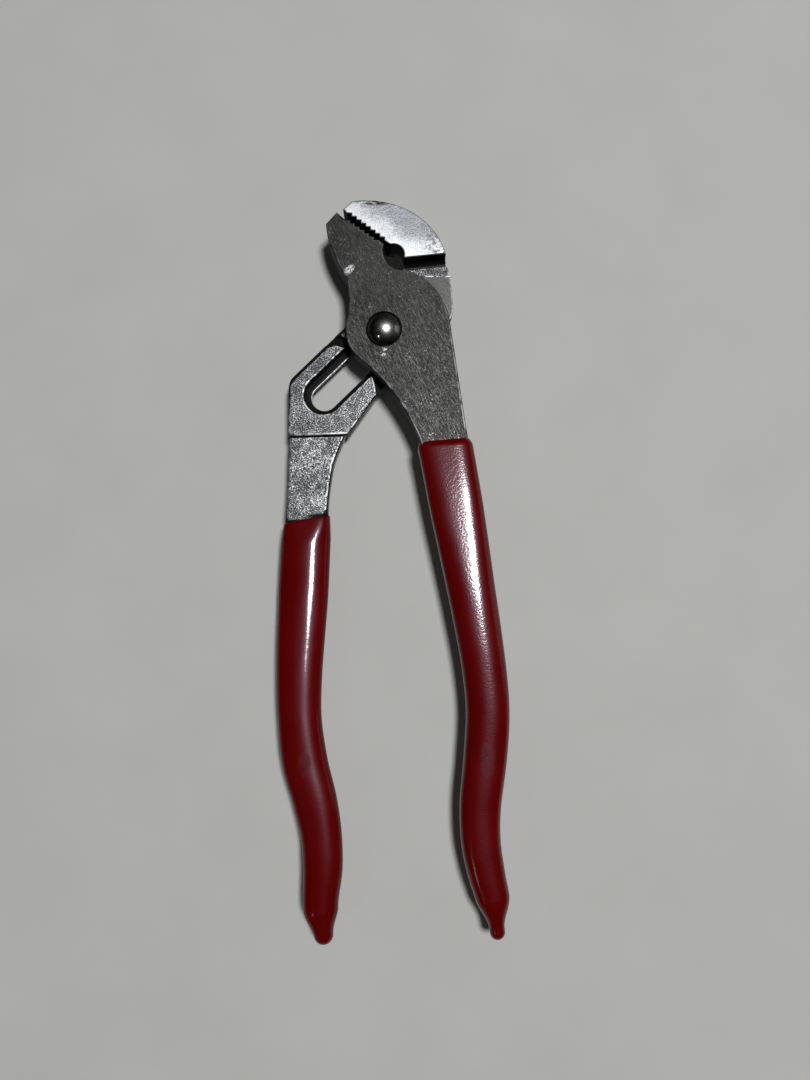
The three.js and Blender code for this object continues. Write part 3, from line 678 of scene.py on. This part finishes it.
def rear_half(finishes):
    """A bed over the whole outline with the slot cut through it, and on the bed the pad, the lands between
    the grooves, the lap face, a raised strip and the jaw; the handle's bar and two hollow fillets,
    painted black as the shadow at the jaw's shoulder and at the pad's step.
    """
    sides = bar_sides()
    outline = rear_outline(sides)
    rim_ends = [angle_of(groove_line(0, GROOVE_OUTER, aside)) for aside in (BAR_HALF, -BAR_HALF)]
    side = curve(*REAR_SIDE, count=40)
    lap = weld(
        arc(GROOVE_OUTER, *rim_ends), curve(*sides["corner"], count=10),
        side[side[:, 1] < STRIP_RIGHT[1]], STRIP_RIGHT, STRIP_LEFT,
    )
    strip = weld(
        STRIP_LEFT, STRIP_RIGHT,
        side[(side[:, 1] > STRIP_RIGHT[1] + 0.3) & (side[:, 1] < SHOULDER_RIGHT[1])],
        SHOULDER_RIGHT, SHOULDER_LEFT, sides["throat_foot"],
    )
    jaw = clipped(outline, SHOULDER_SLOPE + 90, SHOULDER_DISTANCE)
    pad = pad_outline(sides)
    shank_top = REAR_HANDLE["middle"][0] + REAR_HANDLE["thickness"][0] / 2
    solids = [
        # The bed's top, the groove floors, is painted black as shade, and its walls in part
        (plate(outline, BACK_FACE, BED_TOP, 0, BACK_ROUND, [stepped_slot()],
               wall=outer_walls(outline, -1)), BED),
        (plate(pad, BED_TOP, LAP_FACE, np.where(beside_slot(pad), SLOT_ROUND, EDGE_ROUND),
               chamfer=jaw_side(pad)), BLASTED),
        (plate(lap, BED_TOP, LAP_FACE, LAP_ROUND), LAPPED),
        (plate(strip, BED_TOP, LAP_FACE + STRIP_STAND, STRIP_ROUND), BLASTED),
        (plate(jaw, BED_TOP, FRONT_FACE, EDGE_ROUND, wall=outer_walls(jaw, -1)), GROUND),
        (steel_bar(REAR_HANDLE, start=0.0), BLASTED),
        # Black fillets as painted shadow: at the foot of the jaw's shoulder and under the pad's step
        (wall_foot(SHOULDER_LEFT, SHOULDER_RIGHT, LAP_FACE + STRIP_STAND, FILLET_RADIUS), BED),
        (wall_foot(STEP_LEFT, STEP_RIGHT, shank_top, STEP_FILLET), BED),
    ]
    for setting in range(1, SETTINGS):
        spans = [(-BAR_HALF, BAR_HALF)] if setting < 3 else [(-BAR_HALF, -SLOT_HALF), (SLOT_HALF, BAR_HALF)]
        for land in (land_outline(setting, *span) for span in spans):
            solids.append((plate(land, BED_TOP, LAP_FACE, LAND_ROUND, chamfer=jaw_side(land)), LAPPED))
    piece("rear_half_steel", solids, finishes, "rear", "rear_half")


# Pivot

def pivot_bolt(finish):
    """Domed head, plain shank and threaded end: one profile turned about the pivot.

    The dome is a sphere through the head's edge; the thread is a triangle wave along the helix.
    """
    sphere = (HEAD_RADIUS ** 2 + DOME_HEIGHT ** 2) / (2 * DOME_HEIGHT)
    angle = np.linspace(math.asin(HEAD_RADIUS / sphere) * 0.985, 0.002, 40)
    base = HEAD_SEAT + HEAD_RIM
    dome = np.stack([sphere * np.sin(angle), base + DOME_HEIGHT - sphere * (1 - np.cos(angle))], -1)
    edge = [(HEAD_RADIUS - 0.12, HEAD_SEAT), (HEAD_RADIUS, HEAD_SEAT + 0.12), (HEAD_RADIUS, base - 0.1),
            (HEAD_RADIUS - 0.03, base)]
    thread = np.linspace(BOLT_END + 0.5, NUT_TOP + 0.6, THREAD_ROWS)
    shank = np.stack([np.full(THREAD_ROWS, BOLT_RADIUS - 0.01), thread], -1)
    end = [(0.002, BOLT_END), (BOLT_RADIUS - 0.6, BOLT_END), (BOLT_RADIUS - 0.25, BOLT_END + 0.2)]
    profile = np.vstack([end, shank, [(BOLT_RADIUS, NUT_TOP + 0.8), (BOLT_RADIUS, HEAD_SEAT)], edge, dome])

    def threaded(radius, angle, height):
        """Cuts the thread into the shank's lower end."""
        turn = (height / THREAD_PITCH - angle / (2 * math.pi)) % 1
        on_thread = (height > BOLT_END + 0.3) & (height < NUT_TOP + 0.5) & (radius > 3.5)
        return np.where(on_thread, radius - THREAD_DEPTH * np.abs(2 * turn - 1), radius)

    piece("pivot_bolt_head", [(spun(profile, 128, threaded), 0)], [finish], "pivot", "pivot_bolt", 50)


def pivot_washer(finish):
    """A flat ring with rounded edges, turned about the pivot."""
    low = WASHER_TOP - WASHER_THICKNESS
    edge = [(0.2, 0.0), (0.06, 0.06), (0.0, 0.2)]
    profile = [(HOLE_RADIUS, WASHER_TOP), (HOLE_RADIUS, low)]
    profile += [(WASHER_RADIUS - move, low + rise) for move, rise in edge]
    profile += [(WASHER_RADIUS - move, WASHER_TOP - rise) for move, rise in edge[::-1]]
    piece("pivot_washer_ring", [(spun(profile, 128), 0)], [finish], "pivot", "pivot_washer", 50)


def pivot_nut(finish):
    """A six-sided nut with its corners cut by a cone, turned about the pivot."""
    low = NUT_TOP - NUT_THICKNESS
    corner = NUT_FLAT / math.cos(math.pi / 6)
    cone = np.linspace(NUT_FLAT - 0.1, corner, 8)
    slope = NUT_CHAMFER / (corner - NUT_FLAT)
    chamfer = np.stack([cone, low + (cone - cone[0]) * slope], -1)
    bore = [(HOLE_RADIUS, NUT_TOP), (HOLE_RADIUS, low + 0.4), (HOLE_RADIUS + 0.5, low)]
    profile = np.vstack([bore, chamfer, [(corner, NUT_TOP - 0.15), (corner - 0.2, NUT_TOP)]])

    def six_sided(radius, angle, height):
        """The lesser of the profile's radius and the hexagon's."""
        flat = NUT_FLAT / np.cos((angle + math.pi / 6) % (math.pi / 3) - math.pi / 6)
        return np.minimum(radius, flat)

    piece("pivot_nut_hex", [(spun(profile, 144, six_sided), 0)], [finish], "pivot", "pivot_nut", 30)


# Finishes

# Near-black colours painted on walls, recesses and groove floors as their shade
SHADE_BLACK, JAW_SHADE_BLACK = (0.005, 0.005, 0.0053), (0.003, 0.003, 0.0032)


class Finish:
    """A material built up round one Principled shader, metal unless told otherwise.

    Patterns are in millimetres. The colour is laid on in layers and joined to the shader at the end.
    """

    def __init__(self, name, **values):
        self.material = bpy.data.materials.new(name)
        self.material.use_nodes = True
        self.tree = self.material.node_tree
        self.shader = self.tree.nodes["Principled BSDF"]
        for socket, value in {"Metallic": 1.0, **values}.items():
            self.shader.inputs[socket.replace("_", " ")].default_value = value
        self.place = self.node("TexCoord", out="Object")
        self.colour = self.normal = None

    def node(self, kind, inputs=(), out=0, **settings):
        """An output of a new node with its settings made and each input joined or set to a value."""
        made = self.tree.nodes.new("ShaderNode" + kind)
        for name, value in settings.items():
            setattr(made, name, value)
        for socket, value in dict(inputs).items():
            if isinstance(value, bpy.types.NodeSocket):
                self.tree.links.new(value, made.inputs[socket])
            else:
                made.inputs[socket].default_value = value
        return made.outputs[out]

    def feed(self, socket, value):
        """Joins a value to one of the shader's own sockets."""
        self.tree.links.new(value, self.shader.inputs[socket])

    def spot(self, scale=(1, 1, 1), turn=0.0, centre=(0, 0, 0)):
        """Object coordinates in millimetres, moved to a centre, turned about Z and scaled."""
        steps = {"Location": [-c * MM for c in centre], "Rotation": (0, 0, math.radians(-turn)),
                 "Scale": [s / MM for s in scale]}
        vector = self.place
        for step, value in steps.items():
            vector = self.node("Mapping", {"Vector": vector, step: value})
        return vector

    def axis(self, letter):
        """One object coordinate in millimetres."""
        return self.node("SeparateXYZ", {0: self.spot()}, letter)

    def far(self, scale, turn=0.0, centre=(0, 0, 0)):
        """Distance from a centre in millimetres, times the scale along each axis."""
        return self.node("VectorMath", {0: self.spot(scale, turn, centre)}, "Value", operation="LENGTH")

    def attribute(self, name):
        """A mark kept on the mesh's points."""
        return self.node("Attribute", out="Fac", attribute_name=name)

    def noise(self, grain, detail=3.0, rough=0.55, stretch=(1, 1, 1), turn=0.0, centre=(0, 0, 0)):
        """Soft noise whose lumps measure about grain millimetres."""
        vector = self.spot([s / grain for s in stretch], turn, centre)
        inputs = {"Vector": vector, "Scale": 1.0, "Detail": detail, "Roughness": rough}
        return self.node("TexNoise", inputs, "Fac")

    def cells(self, grain):
        """Distance from scattered points about grain millimetres apart."""
        return self.node("TexVoronoi", {"Vector": self.spot([1 / grain] * 3), "Scale": 1.0}, "Distance")

    def ramp(self, value, low, high, to_low=0.0, to_high=1.0):
        """Maps low..high to another range, smooth and clamped."""
        inputs = {"Value": value, "From Min": low, "From Max": high, "To Min": to_low, "To Max": to_high}
        return self.node("MapRange", inputs, interpolation_type="SMOOTHSTEP")

    def math(self, operation, a, b):
        """Two values joined by an operation."""
        return self.node("Math", {0: a, 1: b}, operation=operation)

    def times(self, a, b):
        """Product of two values."""
        return self.math("MULTIPLY", a, b)

    def plus(self, a, b):
        """Sum of two values."""
        return self.math("ADD", a, b)

    def most(self, a, b):
        """The greater of two values."""
        return self.math("MAXIMUM", a, b)

    def patch(self, centre, size, turn=0.0):
        """One inside an oval about a centre, falling to nothing at its edge."""
        return self.ramp(self.far([1 / s for s in size], turn, centre), 0.55, 1.0, 1.0, 0.0)

    def spots(self, grain, low, high, *oval):
        """A patch broken up by noise."""
        return self.times(self.patch(*oval), self.ramp(self.noise(grain), low, high))

    def scratches(self, turns, width, length, amount):
        """Fine straight scratches in several directions: thin bands of noise drawn out along each."""
        total = None
        for index, turn in enumerate(turns):
            band = self.noise(width, 1.0, 0.5, (width / length, 1, 1), turn, (3.1 * index, 7.7 * index, 0))
            line = self.ramp(band, 0.7 - amount, 0.8 - amount)
            total = line if total is None else self.most(total, line)
        return total

    def blend(self, share, *pair):
        """Mixes two colours by a share; each is plain, a grey or from a node."""
        pair = ((shade,) * 3 if isinstance(shade, float) else shade for shade in pair)
        first, second = ((*shade, 1) if isinstance(shade, tuple) else shade for shade in pair)
        return self.node("Mix", {0: share, 6: first, 7: second}, 2, data_type="RGBA")

    def start(self, share, *pair):
        """Begins the colour with a blend of two."""
        self.colour = self.blend(share, *pair)

    def lay(self, shade, share):
        """Lays a colour over what is there, by a share."""
        self.colour = self.blend(share, self.colour, shade)

    def wear(self, amount, bright, grain):
        """Brightens the colour in broken patches along edges that have been rubbed."""
        broken = self.ramp(self.noise(grain), 0.38, 0.6, 0.0, amount)
        self.lay(bright, self.times(self.attribute("wear"), broken))

    def paint_black_shade(self, bare, shade, shine):
        """Paints what isn't bare black as shade: dark, and no longer metal."""
        self.feed("Metallic", bare)
        self.shader.inputs["Specular IOR Level"].default_value = shine
        self.colour = self.blend(bare, shade, self.colour)

    def scale(self, shade=SHADE_BLACK):
        """Paints walls and recesses black as their shade, as far as they aren't open."""
        self.paint_black_shade(self.ramp(self.attribute("open"), 0.15, 0.75), shade, 0.04)

    def done(self, rough, *relief):
        """Joins the colour, the roughness and the relief, each layer a pattern and its depth in mm."""
        self.feed("Base Color", self.colour)
        self.feed("Roughness", rough)
        for pattern, depth in relief:
            inputs = {"Height": pattern, "Strength": 1.0, "Distance": depth * MM}
            if self.normal:
                inputs["Normal"] = self.normal
            self.normal = self.node("Bump", inputs)
        self.feed("Normal", self.normal)
        return self.material


def dark_steel():
    """Front half: dark satin steel drawn along the neck, with short bright flecks and worn edges."""
    made = Finish("dark_satin_steel")
    cloud = made.noise(14, 4)
    grain = made.noise(0.34, 2, 0.7)
    drawn = made.noise(0.3, 2, 0.65, (0.12, 1, 1), -64)
    lines = made.scratches((12, 68, 105, 152, 38), 0.13, 5.0, 0.0)
    rougher = made.ramp(made.axis("Y"), 34, -24, 0.35, 1.0)
    flecks = made.ramp(made.noise(0.5, 1, 0.5, (0.6, 1, 1), -58), 0.66, 0.73)
    flecks = made.times(flecks, made.ramp(made.axis("Y"), -16, -46, 0.3, 1.0))
    flecks = made.times(flecks, made.ramp(made.noise(4), 0.42, 0.6))
    scuff = made.spots(0.7, 0.4, 0.55, (-12.3, 21.2, 17.5), (1.5, 2.9, 3), -48)
    for dent in ((0.2, -7.1, 17.5), (-0.2, -8.9, 17.5)):
        scuff = made.most(scuff, made.spots(0.5, 0.42, 0.56, dent, (0.9, 0.6, 2), 25))
    made.start(made.ramp(cloud, 0.3, 0.7), (0.031, 0.0308, 0.028), (0.054, 0.0545, 0.053))
    made.lay((0.15, 0.152, 0.15), made.times(made.ramp(drawn, 0.47, 0.62, 0.0, 0.8), rougher))
    made.lay((0.013, 0.013, 0.0127), made.times(made.ramp(grain, 0.47, 0.56, 0.0, 0.85), rougher))
    made.lay((0.28, 0.285, 0.285), made.times(lines, 0.35))
    made.lay((0.75, 0.76, 0.76), flecks)
    made.lay((0.6, 0.61, 0.62), scuff)
    made.wear(made.ramp(made.axis("Y"), 8, -20, 0.2, 0.6), (0.45, 0.46, 0.46), 4)
    made.scale()
    rough = made.ramp(cloud, 0.3, 0.7, 0.48, 0.57)
    return made.done(rough, (grain, 0.014), (drawn, 0.014), (lines, 0.003))


def ground_steel():
    """Rear jaw: satin steel with a painted sheen, bright near the teeth and the shoulder and darker toward
    the jaw's back, with an open grain, a mottled corner and dark stains along its back edge; its walls
    and the gaps between its teeth are painted black as shade.
    """
    made = Finish("bright_ground_steel")
    grain = made.noise(0.5, 2, 0.75)
    streak = made.noise(0.45, 2, 0.6, (0.1, 1, 1), 35)
    cloud = made.noise(5, 4)
    across = heading(90 - REAR_SLOPE)
    first = np.dot(REAR_FIRST, across)
    from_teeth = made.plus(made.times(made.axis("X"), across[0]), made.times(made.axis("Y"), across[1]))
    # A painted sheen: bright near the teeth and the shoulder, darker toward the jaw's back
    dull = made.ramp(made.plus(from_teeth, made.times(cloud, 12)), first + 6.5, first + 15)
    tilt = -math.sin(math.radians(SHOULDER_SLOPE))
    above = made.plus(made.axis("Y"), made.times(made.axis("X"), tilt))
    dull = made.times(dull, made.ramp(above, 27.5, 34, 0.2, 1.0))
    open_grain = made.times(made.ramp(grain, 0.44, 0.56, 0.0, 0.85), made.plus(made.times(dull, 0.65), 0.35))
    corner = made.ramp(made.axis("X"), 10.5, 17.5, 0.0, 0.85)
    mottle = made.times(corner, made.ramp(made.noise(0.85, 3, 0.7), 0.47, 0.56))
    stain = made.ramp(made.noise(1.5, 3, 0.6, (0.45, 1, 1), -8), 0.44, 0.5)
    stain = made.times(stain, made.patch((-5.2, 46.4, 16), (8.0, 2.0, 16), -8))
    made.start(dull, (0.93, 0.945, 0.97), (0.47, 0.49, 0.52))
    made.lay((0.2, 0.212, 0.228), open_grain)
    made.lay((0.97, 0.98, 1.0), made.ramp(streak, 0.5, 0.7, 0.0, 0.25))
    made.lay((0.14, 0.143, 0.146), mottle)
    made.wear(0.6, (0.9, 0.91, 0.92), 1.5)
    made.lay((0.05, 0.04, 0.036), stain)
    made.scale(JAW_SHADE_BLACK)
    return made.done(made.ramp(streak, 0.2, 0.8, 0.44, 0.56), (grain, 0.03), (streak, 0.012))


def blasted_steel():
    """Pad, strip and shank: speckled blasted steel with glinting grains and bright worn edges."""
    made = Finish("blasted_steel")
    grain = made.noise(0.32, 2, 0.7)
    fine = made.noise(0.27, 1, 0.6, (0.6, 1, 1), -40, (11, 5, 3))
    brushed = made.noise(0.32, 2, 0.6, (0.12, 1, 1), -38)
    cloud = made.noise(6, 3)
    dusk = made.noise(4.5, 3, 0.6, centre=(2, 9, 0))
    glint = made.times(made.ramp(fine, 0.55, 0.61), made.ramp(cloud, 0.3, 0.65, 0.5, 1.0))
    made.start(made.ramp(cloud, 0.3, 0.7), (0.03, 0.0315, 0.0345), (0.105, 0.108, 0.113))
    made.lay((0.2, 0.205, 0.213), made.ramp(brushed, 0.47, 0.63, 0.0, 0.65))
    made.lay((0.012, 0.0125, 0.0135), made.ramp(grain, 0.47, 0.55, 0.0, 0.88))
    made.lay((0.72, 0.735, 0.75), glint)
    made.lay((0.035, 0.0365, 0.039), made.ramp(dusk, 0.44, 0.6, 0.0, 0.5))
    made.wear(0.9, (0.9, 0.91, 0.92), 1.8)
    made.scale()
    rough = made.plus(made.ramp(fine, 0.3, 0.7, 0.46, 0.36), made.times(made.attribute("wear"), 0.16))
    return made.done(rough, (grain, 0.026), (fine, 0.015), (brushed, 0.008))


def bed_steel():
    """Slot ledge, groove floors and fillets: painted black as shade; the back: smooth bare steel."""
    made = Finish("black_shaded_bed_steel")
    grain = made.noise(0.8, 3, 0.7)
    back_height = LAP_HEIGHT + BACK_FACE
    back = made.ramp(made.axis("Z"), back_height + 0.3, back_height + 1.2, 1.0, 0.0)
    made.start(made.noise(7, 3), (0.26, 0.265, 0.27), (0.4, 0.405, 0.41))
    made.lay(0.06, made.ramp(grain, 0.45, 0.7, 0.0, 0.6))
    made.paint_black_shade(made.most(back, made.attribute("open")), SHADE_BLACK, 0.06)
    made.wear(0.6, 0.4, 0.9)
    return made.done(made.ramp(grain, 0.3, 0.7, 0.26, 0.38), (grain, 0.02))


def lapped_steel():
    """Lap face and lands: smoother grey steel, rubbed in arcs by the other half."""
    made = Finish("lapped_steel")
    grain = made.noise(0.7, 3, 0.7)
    inputs = {"W": made.far((1, 1, 0)), "Scale": 3.0, "Detail": 2.0}
    rings = made.node("TexNoise", inputs, "Fac", noise_dimensions="1D")
    made.start(made.noise(6, 3), 0.075, (0.14, 0.14, 0.138))
    made.lay((0.25, 0.25, 0.246), made.ramp(rings, 0.4, 0.7, 0.0, 0.45))
    made.lay(0.06, made.ramp(grain, 0.4, 0.7, 0.0, 0.7))
    made.wear(0.5, (0.7, 0.71, 0.72), 1.5)
    made.scale()
    return made.done(made.ramp(grain, 0.3, 0.7, 0.32, 0.44), (grain, 0.03))


def polished_steel():
    """Bolt: steel with fine scratches, painted bright about a spot right of and below the dome's top as
    its highlight and dark toward the rim as its shade, with a second small painted highlight lower left.
    """
    made = Finish("polished_steel")
    lines = made.scratches((20, 80, 140), 0.12, 3.0, 0.035)
    cloud = made.noise(3, 3)
    crown_height = LAP_HEIGHT + HEAD_SEAT + HEAD_RIM + DOME_HEIGHT
    # Painted highlight about a spot beside the dome's top, and painted shade toward the rim
    away = made.far((1, 1, 1), 0, (0.9, -0.9, crown_height))
    lit_crown = made.ramp(made.plus(away, made.times(cloud, 1.2)), 1.6, 6.4, 1.0, 0.0)
    # A small painted highlight lower left on the dome, smoother there too
    rubbed = made.patch((-1.9, -3.2, crown_height - 1), (1.3, 1.3, 3))
    bright = made.blend(cloud, (0.66, 0.66, 0.63), (0.8, 0.8, 0.77))
    made.start(made.most(lit_crown, rubbed), (0.04, 0.04, 0.038), bright)
    made.lay(0.8, made.times(lines, 0.4))
    rough = made.ramp(made.plus(cloud, lines), 0.2, 1.4, 0.24, 0.36)
    return made.done(made.math("SUBTRACT", rough, made.times(rubbed, 0.15)), (lines, 0.003))


def plated_steel():
    """Washer and nut: dull bright plating with rubbed flats."""
    made = Finish("plated_steel")
    grain = made.noise(0.6, 3, 0.65)
    made.start(made.noise(4, 3), (0.4, 0.405, 0.41), (0.6, 0.605, 0.61))
    made.lay(0.25, made.ramp(grain, 0.4, 0.8, 0.0, 0.4))
    return made.done(made.ramp(grain, 0.3, 0.7, 0.28, 0.42), (grain, 0.012))


def dipped_vinyl(name, coat, gloss, pebble, specks, smudge):
    """Grips: deep red dipped vinyl, satin gloss with orange peel, a rubbed patch and specks of dirt."""
    made = Finish(name, Metallic=0.0, Coat_Weight=coat, Coat_Roughness=gloss, Specular_IOR_Level=0.13,
                  Specular_Tint=(0.95, 0.78, 1, 1))
    cloud = made.noise(18, 3)
    peel = made.noise(1.1, 2, 0.5)
    fine = made.noise(0.62, 1, 0.5)
    dirt = made.times(made.ramp(made.cells(2.6), 0.16, 0.1), made.ramp(made.noise(7), 0.56, 0.66))
    for oval in specks:
        dirt = made.most(dirt, made.spots(0.9, 0.42, 0.6, *oval))
    rubbed = made.spots(3, 0.35, 0.6, *smudge)
    made.start(cloud, (0.088, 0.0006, 0.0006), (0.118, 0.001, 0.001))
    made.lay((0.02, 0.005, 0.005), made.times(dirt, 0.7))
    made.lay((0.06, 0.012, 0.016), made.times(rubbed, 0.3))
    rough = made.plus(made.ramp(cloud, 0.3, 0.7, 0.24, 0.34), made.times(rubbed, 0.2))
    made.done(rough, (peel, 0.014), (fine, pebble))
    made.feed("Coat Normal", made.normal)
    return made.material


# Pieces

front_half(dark_steel())
rear_half([blasted_steel(), ground_steel(), lapped_steel(), bed_steel()])
pivot_bolt(polished_steel())
plated = plated_steel()
pivot_washer(plated)
pivot_nut(plated)
left_skin = grip_skin(REAR_HANDLE, lip=8.0, square=0.1, square_top=1.4, fade=9, twist=0.0)
left_vinyl = dipped_vinyl(
    "left_grip_vinyl", coat=0.3, gloss=0.07, pebble=0.002, smudge=((-26, -146, 12), (3, 5, 8), 0),
    specks=[((-33, -76, 11.5), (0.9, 3.2, 6), 8), ((-32.4, -84, 11.5), (0.8, 1.6, 6), 0)],
)
right_skin = grip_skin(FRONT_HANDLE, lip=2.0, square=0.3, square_top=1.7, fade=70, twist=0.012)
right_vinyl = dipped_vinyl(
    "right_grip_vinyl", coat=0.54, gloss=0.13, pebble=0.026, smudge=((34, -144, 17), (3, 7, 8), 0),
    specks=[((33, -142, 17), (1.2, 2.5, 6), 20)],
)
piece("left_grip_sleeve", [(left_skin, 0)], [left_vinyl], "rear", "left_grip")
piece("right_grip_sleeve", [(right_skin, 0)], [right_vinyl], "front", "right_grip")


# Floor, light and camera

FLOOR_RADIUS, FLOOR_CORNERS = 1.1, 160
SKY_SHADE, BACKDROP_SHADE = (0.015, 0.0153, 0.016, 1), (0.4, 0.4, 0.39, 1)
CAMERA_PLACE, CAMERA_TILT, CAMERA_LENS = (7.084, -100.724, 274.488), 6, 36 * 811 / 1080


def floor():
    """A plain pale round floor under the bolt's end, with faint uneven tones."""
    mesh = bpy.data.meshes.new("floor")
    turn = np.linspace(0, 2 * math.pi, FLOOR_CORNERS, endpoint=False)
    corners = FLOOR_RADIUS * np.stack([np.cos(turn), np.sin(turn), 0 * turn], axis=-1)
    mesh.from_pydata(corners.tolist(), [], [list(range(FLOOR_CORNERS))])
    made = Finish("pale_floor", Metallic=0.0, Roughness=0.85)
    made.feed("Base Color", made.blend(made.noise(40, 3), (0.5, 0.5, 0.485), (0.56, 0.56, 0.545)))
    mesh.materials.append(made.material)
    ground = linked("floor", mesh)


def lamp(name, direction, distance, size, power):
    """A round soft lamp in a direction from the pivot, turned to it."""
    data = bpy.data.lights.new(name, "AREA")
    data.shape = "DISK"
    data.size = size
    data.energy = power
    made = linked(name, data)
    way = Vector(direction).normalized()
    made.location = way * distance
    made.rotation_euler = way.to_track_quat("Z", "Y").to_euler()


def sky():
    """Faint even light from all round; where the camera sees it, a pale backdrop."""
    world = bpy.data.worlds.new("studio")
    world.use_nodes = True
    tree = world.node_tree
    seen = tree.nodes.new("ShaderNodeLightPath").outputs["Is Camera Ray"]
    shade = tree.nodes.new("ShaderNodeMix")
    shade.data_type = "RGBA"
    shade.inputs[6].default_value, shade.inputs[7].default_value = SKY_SHADE, BACKDROP_SHADE
    tree.links.new(seen, shade.inputs[0])
    tree.links.new(shade.outputs[2], tree.nodes["Background"].inputs["Color"])
    bpy.context.scene.world = world


def camera():
    """Looks down on the tool from the handle side, as far off and tilted as the photograph was taken."""
    data = bpy.data.cameras.new("camera")
    data.lens = CAMERA_LENS
    data.clip_start = 0.01
    made = linked("camera", data)
    made.location = (np.array(CAMERA_PLACE) + [0, 0, LAP_HEIGHT]) * MM
    made.rotation_euler = (math.radians(CAMERA_TILT), 0, 0)
    bpy.context.scene.camera = made


floor()
lamp("key_lamp", (0.2, 0.042, 0.978), distance=2.2, size=0.39, power=37)
lamp("soft_lamp", (0.0, 0.28, 0.96), distance=1.1, size=1.1, power=0.12)
lamp("side_lamp", (1.0, 0.15, 0.22), distance=1.0, size=0.6, power=0.45)
lamp("fill_lamp", (-0.5, -0.6, 0.58), distance=0.9, size=0.08, power=0.1)
sky()
camera()
bpy.context.scene.view_settings.view_transform = "Standard"
